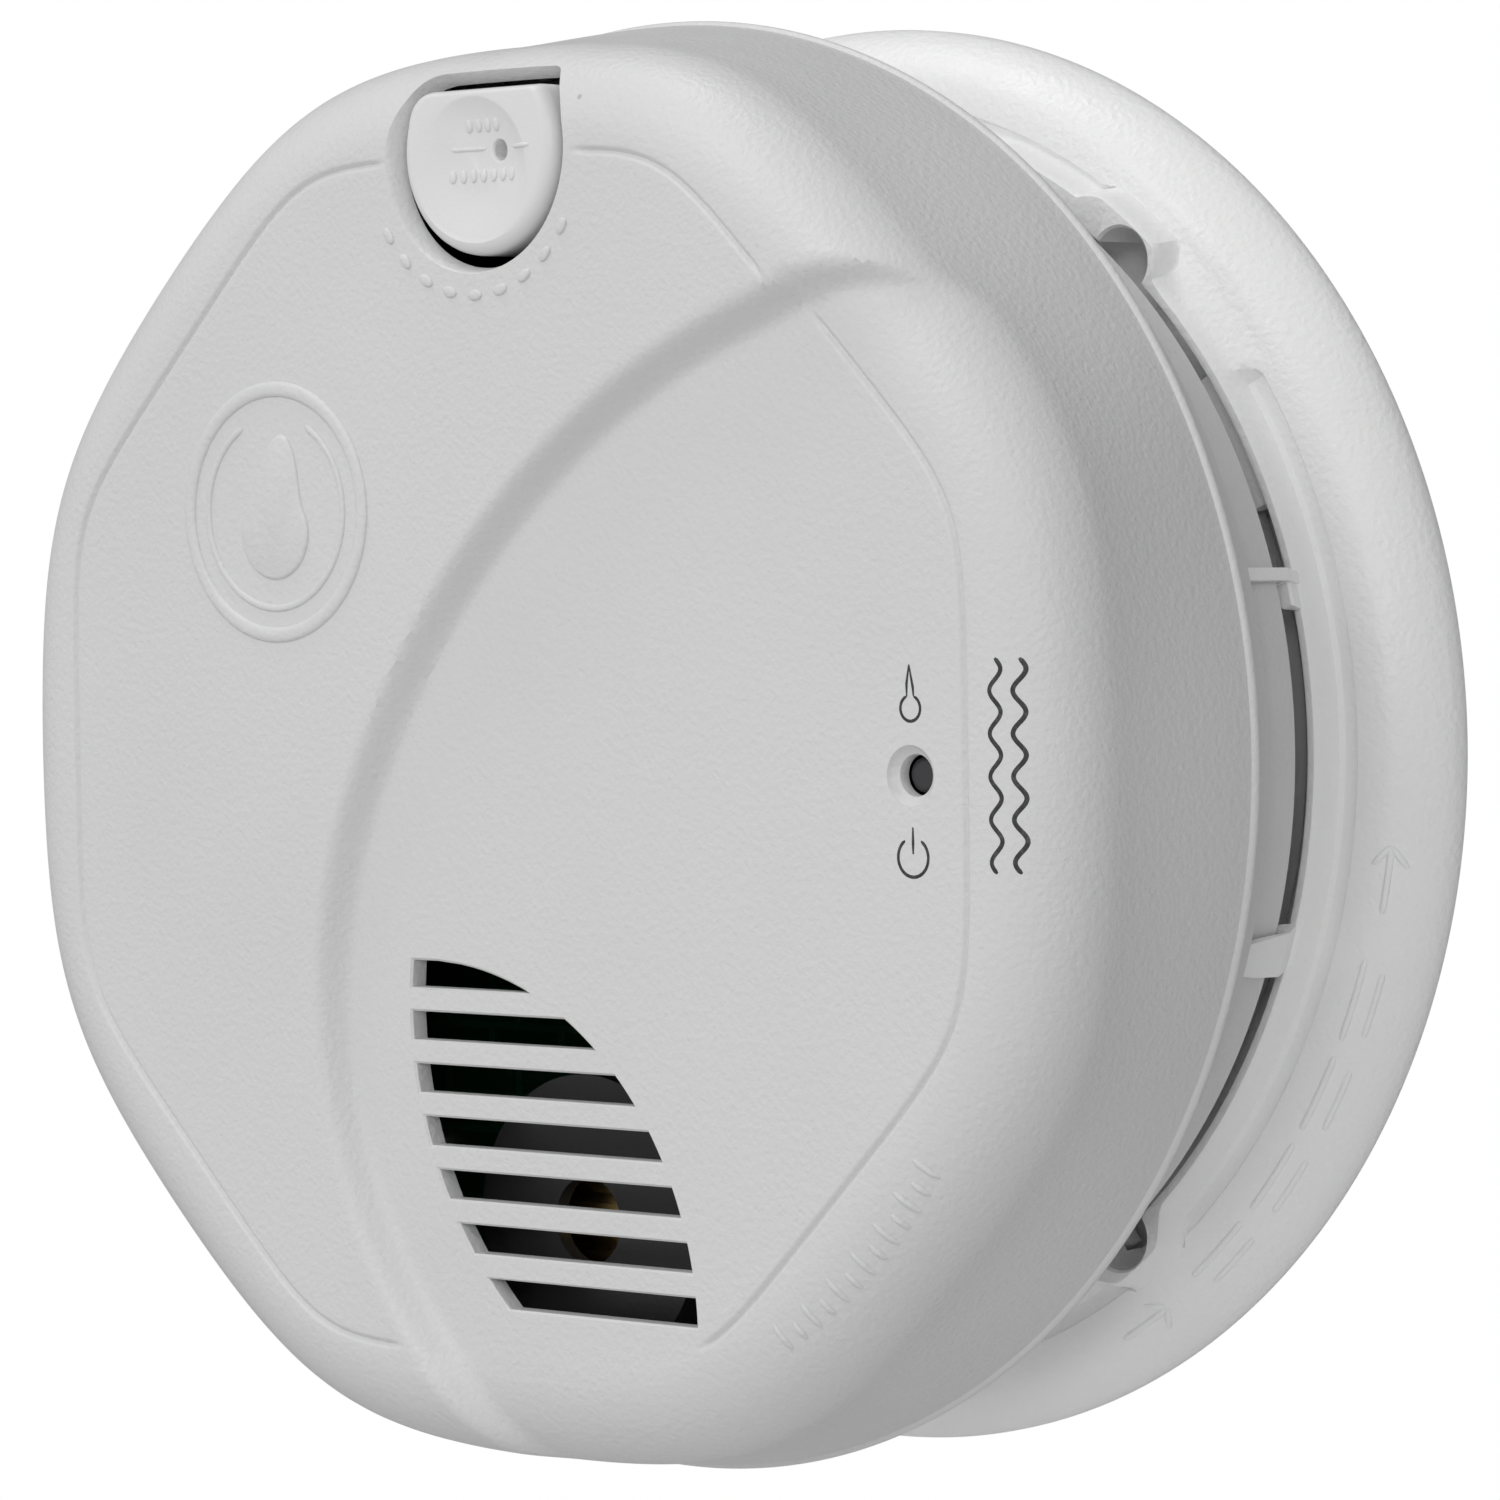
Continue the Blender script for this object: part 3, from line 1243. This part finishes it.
VENT_COUNT, VENT_WIDTH, VENT_HEIGHT = 31, 3.4, 4.2
VENT_TOP = BAND_BACK - 0.4
vent_seed = straight_block("vent_seed", -4, 4, -VENT_WIDTH / 2, VENT_WIDTH / 2, -VENT_HEIGHT, 0)
VENT_START, VENT_END = -155.0, 155.0
vents = row_on_arc("vents", vent_seed, VENT_COUNT + 1, DRUM_RADIUS, VENT_TOP, VENT_START, VENT_END)
removals = [vents]
removals.append(straight_block("bay_space", -76, BAY_END, -BAY_HALF, BAY_HALF, BAY_FLOOR, BAY_ROOF))
gap = 0.1
removals.append(
    straight_block(
        "inlet_hole", INLET_LOW[0] - gap, INLET_HIGH[0] + gap, INLET_LOW[1] - gap,
        INLET_HIGH[1] + gap, HOUSING_BACK - 1, HOUSING_BACK + WALL_BACK + 1
    )
)
for place in SCREW_PLACES:
    removals.append(
        stack(
            "screw_hole",
            [ring_points(1.3, h, 24, place) for h in (BOARD_LEVEL - 9.0, BOARD_LEVEL + 1)]
        )
    )
for side in (-1, 1):
    y = side * 6.35
    removals.append(
        straight_block(
            "contact_slot", BAY_END - 4.0, BAY_END - 1.6, y - 3, y + 3, BAY_ROOF - 0.9,
            SEAT_TOP + 1
        )
    )
cut(housing, removals)
smooth(housing, 30)
print("housing:", len(housing.data.polygons), "faces, bay end", round(float(BAY_END), 2))

# %% [markdown]
# ## Finishes
# All white parts are ABS from steel moulds. The mould is spark eroded, which leaves a fine, even
# grain of about a third of a millimetre. Over that lie slow waves where the melt shrank, a little
# handling grime and a few dark specks. Those effects serve several plastics, so they are shader
# node groups that give out masks, colours and normals; the shaders stay in each material.

# %% Small helpers for node trees
def link(tree, out, into):
    tree.links.new(out, into)


def node(tree, kind, **settings):
    """A node with its settings given as attributes."""
    made = tree.nodes.new(kind)
    for key, value in settings.items():
        setattr(made, key, value)
    return made


def noise(tree, vector, scale, detail=2.0, roughness=0.5):
    made = node(tree, "ShaderNodeTexNoise")
    made.inputs["Scale"].default_value = scale
    made.inputs["Detail"].default_value = detail
    made.inputs["Roughness"].default_value = roughness
    link(tree, vector, made.inputs["Vector"])
    return made.outputs["Fac"]


def math_node(tree, operation, first, second):
    """A Math node; each input is a socket or a number."""
    made = node(tree, "ShaderNodeMath", operation=operation)
    for socket, value in zip(made.inputs, (first, second)):
        if isinstance(value, (int, float)):
            socket.default_value = value
        else:
            link(tree, value, socket)
    return made.outputs[0]


def ramp(tree, value, low, high, out_low=0.0, out_high=1.0):
    """Maps low..high to out_low..out_high with soft ends, clamped."""
    made = node(tree, "ShaderNodeMapRange", interpolation_type="SMOOTHSTEP")
    for name, number in (
        ("From Min", low), ("From Max", high), ("To Min", out_low), ("To Max", out_high)
    ):
        made.inputs[name].default_value = number
    link(tree, value, made.inputs["Value"])
    return made.outputs["Result"]


def new_group(name, inputs, outputs):
    """A shader node group with float inputs {name: default} and outputs {name: socket type}."""
    tree = bpy.data.node_groups.new(name, "ShaderNodeTree")
    tree.interface.new_socket("Vector", in_out="INPUT", socket_type="NodeSocketVector")
    for key, value in inputs.items():
        socket = tree.interface.new_socket(key, in_out="INPUT", socket_type="NodeSocketFloat")
        socket.default_value = value
    for key, kind in outputs.items():
        tree.interface.new_socket(key, in_out="OUTPUT", socket_type=kind)
    return tree, node(tree, "NodeGroupInput"), node(tree, "NodeGroupOutput")


# %% Group: the grain of a spark-eroded mould
def grain_group():
    inputs = {"Grain Scale": 2600.0, "Grain Depth": 0.25, "Wave Depth": 0.12}
    tree, source, result = new_group(
        "mould_grain", inputs, {"Normal": "NodeSocketVector", "Height": "NodeSocketFloat"}
    )
    vector = source.outputs["Vector"]
    fine = node(tree, "ShaderNodeTexNoise")
    fine.inputs["Detail"].default_value = 3.0
    fine.inputs["Roughness"].default_value = 0.55
    link(tree, vector, fine.inputs["Vector"])
    link(tree, source.outputs["Grain Scale"], fine.inputs["Scale"])
    pits = node(tree, "ShaderNodeTexVoronoi", feature="SMOOTH_F1")
    link(tree, vector, pits.inputs["Vector"])
    link(tree, math_node(tree, "MULTIPLY", source.outputs["Grain Scale"], 0.8), pits.inputs["Scale"])
    texture = math_node(
        tree, "ADD", math_node(tree, "MULTIPLY", fine.outputs["Fac"], 0.6),
        math_node(tree, "MULTIPLY", pits.outputs["Distance"], 0.4)
    )
    wave = noise(tree, vector, 55.0, 2.0)
    height = math_node(
        tree, "ADD", math_node(tree, "MULTIPLY", texture, source.outputs["Grain Depth"]),
        math_node(tree, "MULTIPLY", wave, source.outputs["Wave Depth"])
    )
    bump = node(tree, "ShaderNodeBump")
    bump.inputs["Distance"].default_value = 0.00012
    bump.inputs["Strength"].default_value = 1.0
    link(tree, height, bump.inputs["Height"])
    link(tree, bump.outputs["Normal"], result.inputs["Normal"])
    link(tree, height, result.inputs["Height"])
    return tree


# %% Group: grime, specks and handling marks
def handling_group():
    inputs = {"Blotch": 0.03, "Specks": 0.35, "Rub": 0.05}
    outputs = {"Shade": "NodeSocketFloat", "Roughness Shift": "NodeSocketFloat"}
    tree, source, result = new_group("handling", inputs, outputs)
    vector = source.outputs["Vector"]
    slow = noise(tree, vector, 28.0, 4.0)
    blotch = math_node(tree, "MULTIPLY", ramp(tree, slow, 0.3, 0.75), source.outputs["Blotch"])
    cells = node(tree, "ShaderNodeTexVoronoi", feature="F1")
    cells.inputs["Scale"].default_value = 62.0
    cells.inputs["Randomness"].default_value = 1.0
    link(tree, vector, cells.inputs["Vector"])
    near = ramp(tree, cells.outputs["Distance"], 0.012, 0.024, 1.0, 0.0)
    chosen = node(tree, "ShaderNodeSeparateColor")
    link(tree, cells.outputs["Color"], chosen.inputs["Color"])
    few = ramp(tree, chosen.outputs["Red"], 0.62, 0.72)
    specks = math_node(tree, "MULTIPLY", math_node(tree, "MULTIPLY", near, few), source.outputs["Specks"])
    shade = math_node(tree, "SUBTRACT", math_node(tree, "SUBTRACT", 1.0, blotch), specks)
    link(tree, shade, result.inputs["Shade"])
    rubbed = noise(tree, vector, 90.0, 5.0, 0.6)
    link(
        tree,
        math_node(tree, "MULTIPLY", ramp(tree, rubbed, 0.35, 0.7, -1.0, 1.0), source.outputs["Rub"]),
        result.inputs["Roughness Shift"]
    )
    return tree


GRAIN = grain_group()
HANDLING = handling_group()
print("groups:", GRAIN.name, "and", HANDLING.name)


# %% Plastics
def start_material(name):
    """A node material with its tree, shader and object coordinates."""
    material = bpy.data.materials.new(name)
    material.use_nodes = True
    tree = material.node_tree
    shader = tree.nodes["Principled BSDF"]
    place = node(tree, "ShaderNodeTexCoord").outputs["Object"]
    return material, tree, shader, place


def use_group(tree, group, vector, **values):
    made = node(tree, "ShaderNodeGroup", node_tree=group)
    link(tree, vector, made.inputs["Vector"])
    for key, value in values.items():
        made.inputs[key.replace("_", " ")].default_value = value
    return made


def plastic(
    name, colour, roughness=0.5, grain=2600.0, depth=0.25, wave=0.12, blotch=0.03, specks=0.3,
    rub=0.05, glow=0.0, specular=0.5
):
    """A moulded plastic: its colour, shaded by handling, with the mould's grain in its normal."""
    material, tree, shader, place = start_material(name)
    grained = use_group(tree, GRAIN, place, Grain_Scale=grain, Grain_Depth=depth, Wave_Depth=wave)
    handled = use_group(tree, HANDLING, place, Blotch=blotch, Specks=specks, Rub=rub)
    mix = node(tree, "ShaderNodeMix", data_type="RGBA", blend_type="MULTIPLY")
    mix.inputs["Factor"].default_value = 1.0
    mix.inputs["A"].default_value = (*colour, 1.0)
    link(tree, handled.outputs["Shade"], mix.inputs["B"])
    link(tree, mix.outputs["Result"], shader.inputs["Base Color"])
    rough = math_node(tree, "ADD", handled.outputs["Roughness Shift"], roughness)
    link(tree, rough, shader.inputs["Roughness"])
    link(tree, grained.outputs["Normal"], shader.inputs["Normal"])
    shader.inputs["Specular IOR Level"].default_value = specular
    if glow:
        shader.inputs["Subsurface Weight"].default_value = glow
        shader.inputs["Subsurface Radius"].default_value = (0.0012, 0.001, 0.0009)
        shader.inputs["Subsurface Scale"].default_value = 1.0
    return material


def metal(name, colour, roughness, streak=900.0):
    """Plated strip or pin: drawn streaks along one axis and a little tarnish."""
    material, tree, shader, place = start_material(name)
    squeeze = node(tree, "ShaderNodeMapping")
    squeeze.inputs["Scale"].default_value = (0.06, 1.0, 1.0)
    link(tree, place, squeeze.inputs["Vector"])
    streaks = noise(tree, squeeze.outputs["Vector"], streak, 3.0)
    handled = use_group(tree, HANDLING, place, Blotch=0.16, Specks=0.1, Rub=0.08)
    mix = node(tree, "ShaderNodeMix", data_type="RGBA", blend_type="MULTIPLY")
    mix.inputs["Factor"].default_value = 1.0
    mix.inputs["A"].default_value = (*colour, 1.0)
    link(tree, handled.outputs["Shade"], mix.inputs["B"])
    link(tree, mix.outputs["Result"], shader.inputs["Base Color"])
    shader.inputs["Metallic"].default_value = 1.0
    link(
        tree, ramp(tree, streaks, 0.3, 0.7, roughness - 0.07, roughness + 0.09),
        shader.inputs["Roughness"]
    )
    bump = node(tree, "ShaderNodeBump")
    bump.inputs["Distance"].default_value = 0.00004
    bump.inputs["Strength"].default_value = 0.6
    link(tree, streaks, bump.inputs["Height"])
    link(tree, bump.outputs["Normal"], shader.inputs["Normal"])
    return material


SHELL = (0.70, 0.70, 0.70)
FINISHES = {
    "shell_plastic": plastic("shell_plastic", SHELL, 0.46, grain=1900.0, depth=1.15, wave=0.2, glow=0.05),
    "bracket_plastic": plastic(
        "bracket_plastic", (0.93, 0.93, 0.93), 0.40, grain=1700.0, depth=1.3, wave=0.2, glow=0.08
    ),
    "button_plastic": plastic(
        "button_plastic", (0.78, 0.78, 0.78), 0.38, grain=3200.0, depth=0.25, wave=0.05,
        specks=0.15, glow=0.05
    ),
    "black_plastic": plastic("black_plastic", (0.02, 0.02, 0.021), 0.42, depth=0.3),
    "horn_plastic": plastic("horn_plastic", (0.035, 0.035, 0.037), 0.4, depth=0.25, specks=0.0),
    "chip_resin": plastic("chip_resin", (0.022, 0.022, 0.024), 0.55, grain=5200.0, depth=0.4, specks=0.0),
    "resistor_coat": plastic(
        "resistor_coat", (0.55, 0.42, 0.26), 0.3, grain=3800.0, depth=0.12, blotch=0.12
    ),
    "capacitor_sleeve": plastic(
        "capacitor_sleeve", (0.02, 0.03, 0.07), 0.28, grain=2200.0, depth=0.08, blotch=0.1
    ),
    "film_capacitor": plastic(
        "film_capacitor", (0.6, 0.42, 0.05), 0.33, grain=2600.0, depth=0.1, blotch=0.06
    ),
    "absorber_coat": plastic(
        "absorber_coat", (0.03, 0.1, 0.34), 0.3, grain=1600.0, depth=0.14, wave=0.5, blotch=0.1
    ),
    "zinc_steel": metal("zinc_steel", (0.62, 0.63, 0.65), 0.32),
    "spring_metal": metal("spring_metal", (0.66, 0.63, 0.58), 0.28),
    "pin_brass": metal("pin_brass", (0.72, 0.5, 0.2), 0.26),
}
print("finishes so far:", len(FINISHES))


# %% Ink, laminate, foil, resins and the battery's jacket
def ink():
    """Printed ink: near black, thin, with a slightly broken edge of tone."""
    material, tree, shader, place = start_material("printed_ink")
    worn = noise(tree, place, 1400.0, 4.0, 0.65)
    mix = node(tree, "ShaderNodeMix", data_type="RGBA")
    link(tree, ramp(tree, worn, 0.45, 0.72), mix.inputs["Factor"])
    mix.inputs["A"].default_value = (0.022, 0.022, 0.024, 1)
    mix.inputs["B"].default_value = (0.075, 0.075, 0.078, 1)
    link(tree, mix.outputs["Result"], shader.inputs["Base Color"])
    shader.inputs["Roughness"].default_value = 0.5
    return material


def laminate():
    """Green solder mask over woven glass, with paler tracks."""
    material, tree, shader, place = start_material("board_laminate")
    weave_x = node(tree, "ShaderNodeTexWave", bands_direction="X")
    weave_z = node(tree, "ShaderNodeTexWave", bands_direction="Z")
    for wave in (weave_x, weave_z):
        wave.inputs["Scale"].default_value = 420.0
        link(tree, place, wave.inputs["Vector"])
    woven = math_node(tree, "ADD", weave_x.outputs["Fac"], weave_z.outputs["Fac"])
    tracks = node(tree, "ShaderNodeTexBrick", offset=0.37, squash=1.0)
    turned = node(tree, "ShaderNodeMapping")
    turned.inputs["Rotation"].default_value = (math.radians(90), 0, 0)
    link(tree, place, turned.inputs["Vector"])
    link(tree, turned.outputs["Vector"], tracks.inputs["Vector"])
    for name, number in (
        ("Scale", 95.0), ("Mortar Size", 0.035), ("Brick Width", 0.9), ("Row Height", 0.33)
    ):
        tracks.inputs[name].default_value = number
    mix = node(tree, "ShaderNodeMix", data_type="RGBA")
    link(tree, tracks.outputs["Fac"], mix.inputs["Factor"])
    mix.inputs["A"].default_value = (0.004, 0.028, 0.011, 1)
    mix.inputs["B"].default_value = (0.008, 0.05, 0.02, 1)
    link(tree, mix.outputs["Result"], shader.inputs["Base Color"])
    shader.inputs["Roughness"].default_value = 0.3
    bump = node(tree, "ShaderNodeBump")
    bump.inputs["Distance"].default_value = 0.00003
    link(
        tree,
        math_node(tree, "ADD", math_node(tree, "MULTIPLY", woven, 0.2), tracks.outputs["Fac"]),
        bump.inputs["Height"]
    )
    link(tree, bump.outputs["Normal"], shader.inputs["Normal"])
    return material


def foil():
    """A blank silver rating plate with a dark printed border and faint brushing."""
    material, tree, shader, place = start_material("label_paper")
    low, high = reach("rating_label")
    split = node(tree, "ShaderNodeSeparateXYZ")
    link(tree, place, split.inputs["Vector"])
    middle, half = (low + high) / 2 * MM, (high - low) / 2 * MM
    inside = []
    for axis, k in (("X", 0), ("Z", 1)):
        away = math_node(
            tree, "ABSOLUTE", math_node(tree, "SUBTRACT", split.outputs[axis], float(middle[k])),
            0.0
        )
        inside.append(math_node(tree, "SUBTRACT", float(half[k]) - 0.0016, away))
    edge = math_node(tree, "MINIMUM", inside[0], inside[1])
    band = ramp(tree, math_node(tree, "ABSOLUTE", edge, 0.0), 0.00022, 0.0003, 1.0, 0.0)
    brushed = noise(tree, place, 2400.0, 3.0)
    base = node(tree, "ShaderNodeMix", data_type="RGBA")
    link(tree, brushed, base.inputs["Factor"])
    base.inputs["A"].default_value = (0.56, 0.57, 0.59, 1)
    base.inputs["B"].default_value = (0.7, 0.71, 0.72, 1)
    mix = node(tree, "ShaderNodeMix", data_type="RGBA")
    link(tree, band, mix.inputs["Factor"])
    link(tree, base.outputs["Result"], mix.inputs["A"])
    mix.inputs["B"].default_value = (0.03, 0.03, 0.035, 1)
    link(tree, mix.outputs["Result"], shader.inputs["Base Color"])
    shader.inputs["Metallic"].default_value = 0.35
    shader.inputs["Roughness"].default_value = 0.38
    return material


def resin(name, colour, clear=0.6):
    """A clear or tinted moulded lens with faint flow marks."""
    material, tree, shader, place = start_material(name)
    flow = noise(tree, place, 320.0, 3.0)
    mix = node(tree, "ShaderNodeMix", data_type="RGBA")
    link(tree, flow, mix.inputs["Factor"])
    mix.inputs["A"].default_value = (*colour, 1)
    mix.inputs["B"].default_value = (*[min(1.0, 1.25 * c) for c in colour], 1)
    link(tree, mix.outputs["Result"], shader.inputs["Base Color"])
    shader.inputs["Transmission Weight"].default_value = clear
    shader.inputs["IOR"].default_value = 1.49
    shader.inputs["Roughness"].default_value = 0.12
    return material


def jacket():
    """A battery's painted steel jacket: dark, with one plain band and worn edges of tone."""
    material, tree, shader, place = start_material("battery_jacket")
    low, high = reach("battery")
    split = node(tree, "ShaderNodeSeparateXYZ")
    link(tree, place, split.inputs["Vector"])
    start = float(low[0] + 0.72 * (high[0] - low[0])) * MM
    band = ramp(tree, split.outputs["X"], start, start + 0.0003)
    worn = noise(tree, place, 260.0, 6.0, 0.6)
    dark = node(tree, "ShaderNodeMix", data_type="RGBA")
    link(tree, ramp(tree, worn, 0.35, 0.75), dark.inputs["Factor"])
    dark.inputs["A"].default_value = (0.02, 0.022, 0.025, 1)
    dark.inputs["B"].default_value = (0.05, 0.052, 0.056, 1)
    mix = node(tree, "ShaderNodeMix", data_type="RGBA")
    link(tree, band, mix.inputs["Factor"])
    link(tree, dark.outputs["Result"], mix.inputs["A"])
    mix.inputs["B"].default_value = (0.5, 0.36, 0.14, 1)
    link(tree, mix.outputs["Result"], shader.inputs["Base Color"])
    shader.inputs["Metallic"].default_value = 0.3
    link(tree, ramp(tree, worn, 0.3, 0.7, 0.25, 0.42), shader.inputs["Roughness"])
    return material


FINISHES["board_laminate"] = laminate()
FINISHES["label_paper"] = foil()
FINISHES["clear_resin"] = resin("clear_resin", (0.05, 0.05, 0.055), 0.5)
FINISHES["green_resin"] = resin("green_resin", (0.06, 0.4, 0.1), 0.4)
FINISHES["red_resin"] = resin("red_resin", (0.5, 0.03, 0.02), 0.4)
FINISHES["battery_jacket"] = jacket()
INK = ink()
print("finishes:", sorted(FINISHES))

# %% [markdown]
# ## Who rides on what
# Every new piece names its body, the finish slot it belongs to and the CAD node it stands for. The
# CAD nodes that stay only get their finish.

# %% Dress the pieces
def dress(piece, body, slot, material=None, stands_for=()):
    piece.data.materials.clear()
    piece.data.materials.append(material or FINISHES[slot])
    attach(piece, body)
    if stands_for:
        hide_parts(*stands_for)


dress(cover, "alarm", "shell_plastic", stands_for=["front_cover"])
for piece in (emblem, button_dots, edge_bars):
    dress(piece, "alarm", "shell_plastic")
dress(button, "button", "button_plastic", stands_for=["test_button"])
dress(button_signs, "button", "button_plastic")
dress(bracket, "bracket", "bracket_plastic", stands_for=["mounting_bracket"])
dress(bracket_marks, "bracket", "bracket_plastic")
dress(housing, "alarm", "shell_plastic", stands_for=["rear_housing"])
dress(prints, "alarm", "black_plastic", INK)
replaced = {"front_cover", "test_button", "mounting_bracket", "rear_housing"}
for part in frame["record"]["subparts"]:
    if part["node"] in replaced:
        continue
    mesh = frame["nodes"][part["node"]].data
    if not mesh.materials:
        mesh.materials.append(None)
    for index in range(len(mesh.materials)):
        mesh.materials[index] = FINISHES[part["material_slot"]]

# %% [markdown]
# ## Camera, light and backdrop
# The alarm hangs on nothing here: a plain pale floor lies well below it and a soft sky lights all
# sides, with a key lamp above the front, one from the right for the rim and one from the top.

# %% Camera
AZIMUTH, ELEVATION, ROLL = 0.72752, 0.036345, -0.01565
DISTANCE = 0.60478
LENS = 148.24
TARGET = np.array([3.081, -25.0, -0.479]) * MM
back = np.array(
    [
        math.sin(AZIMUTH) * math.cos(ELEVATION), -math.cos(AZIMUTH) * math.cos(ELEVATION),
        math.sin(ELEVATION)
    ]
)
right = np.cross(-back, [0, 0, 1])
right /= np.linalg.norm(right)
up = np.cross(right, -back)
image_right = math.cos(ROLL) * right + math.sin(ROLL) * up
image_up = -math.sin(ROLL) * right + math.cos(ROLL) * up
camera = bpy.data.objects.new("camera", bpy.data.cameras.new("camera"))
bpy.context.scene.collection.objects.link(camera)
place = TARGET + DISTANCE * back
camera.matrix_world = Matrix(
    [[*row, p] for row, p in zip(np.column_stack([image_right, image_up, back]).tolist(), place)]
    + [[0, 0, 0, 1]]
)
camera.data.lens = LENS
camera.data.clip_start = 0.01
bpy.context.scene.camera = camera
print("camera stands", round(DISTANCE, 3), "m away")


# %% Floor, sky and lamps
FLOOR_LEVEL, FLOOR_HALF = -700.0, 1500.0
floor = make_mesh(
    "floor",
    np.column_stack([rectangle * FLOOR_HALF, np.zeros(4)])[:, [0, 2, 1]] + np.array([0, FLOOR_LEVEL, 0]),
    [(0, 3, 2, 1)]
)
floor_paint = bpy.data.materials.new("pale_floor")
floor_paint.use_nodes = True
floor_paint.node_tree.nodes["Principled BSDF"].inputs["Base Color"].default_value = (0.85, 0.85, 0.85, 1)
floor_paint.node_tree.nodes["Principled BSDF"].inputs["Roughness"].default_value = 0.9
floor.data.materials.append(floor_paint)

SKY_LIGHT, SKY_SWELL, SKY_BEHIND = 0.39, 0.42, 0.2
world = bpy.data.worlds.new("sky")
bpy.context.scene.world = world
world.use_nodes = True
sky = world.node_tree
seen = sky.nodes["Background"]
seen.inputs["Color"].default_value = (1, 1, 1, 1)
lighting = node(sky, "ShaderNodeBackground")
lighting.inputs["Color"].default_value = (1, 1, 1, 1)
heading = node(sky, "ShaderNodeSeparateXYZ")
link(sky, node(sky, "ShaderNodeTexCoord").outputs["Generated"], heading.inputs["Vector"])
toward_front = math_node(sky, "MULTIPLY", heading.outputs["Y"], -SKY_SWELL)
link(
    sky, math_node(sky, "MAXIMUM", math_node(sky, "ADD", toward_front, SKY_LIGHT), SKY_BEHIND),
    lighting.inputs["Strength"]
)
choice = node(sky, "ShaderNodeMixShader")
link(sky, node(sky, "ShaderNodeLightPath").outputs["Is Camera Ray"], choice.inputs["Fac"])
link(sky, lighting.outputs["Background"], choice.inputs[1])
link(sky, seen.outputs["Background"], choice.inputs[2])
link(sky, choice.outputs["Shader"], sky.nodes["World Output"].inputs["Surface"])
bpy.context.scene.view_settings.view_transform = "Standard"


def soft_lamp(name, place, aim, size, power):
    """A square area lamp at a place, facing its aim."""
    lamp = bpy.data.lights.new(name, "AREA")
    lamp.size = size
    lamp.energy = power
    holder = bpy.data.objects.new(name, lamp)
    bpy.context.scene.collection.objects.link(holder)
    holder.location = place
    holder.rotation_euler = (Vector(aim) - Vector(place)).to_track_quat("-Z", "Y").to_euler()
    return holder


soft_lamp("key", (-0.15, -1.0, 0.95), (0, 0, 0), 0.35, 3.2)
soft_lamp("rim", (0.66, -0.86, 0.25), (0, 0, 0), 0.2, 1.3)
soft_lamp("top", (-0.4, -0.2, 1.15), (0, 0, 0), 0.35, 3.0)
print("lamps: key, rim and top, over a soft sky that is brighter in front")
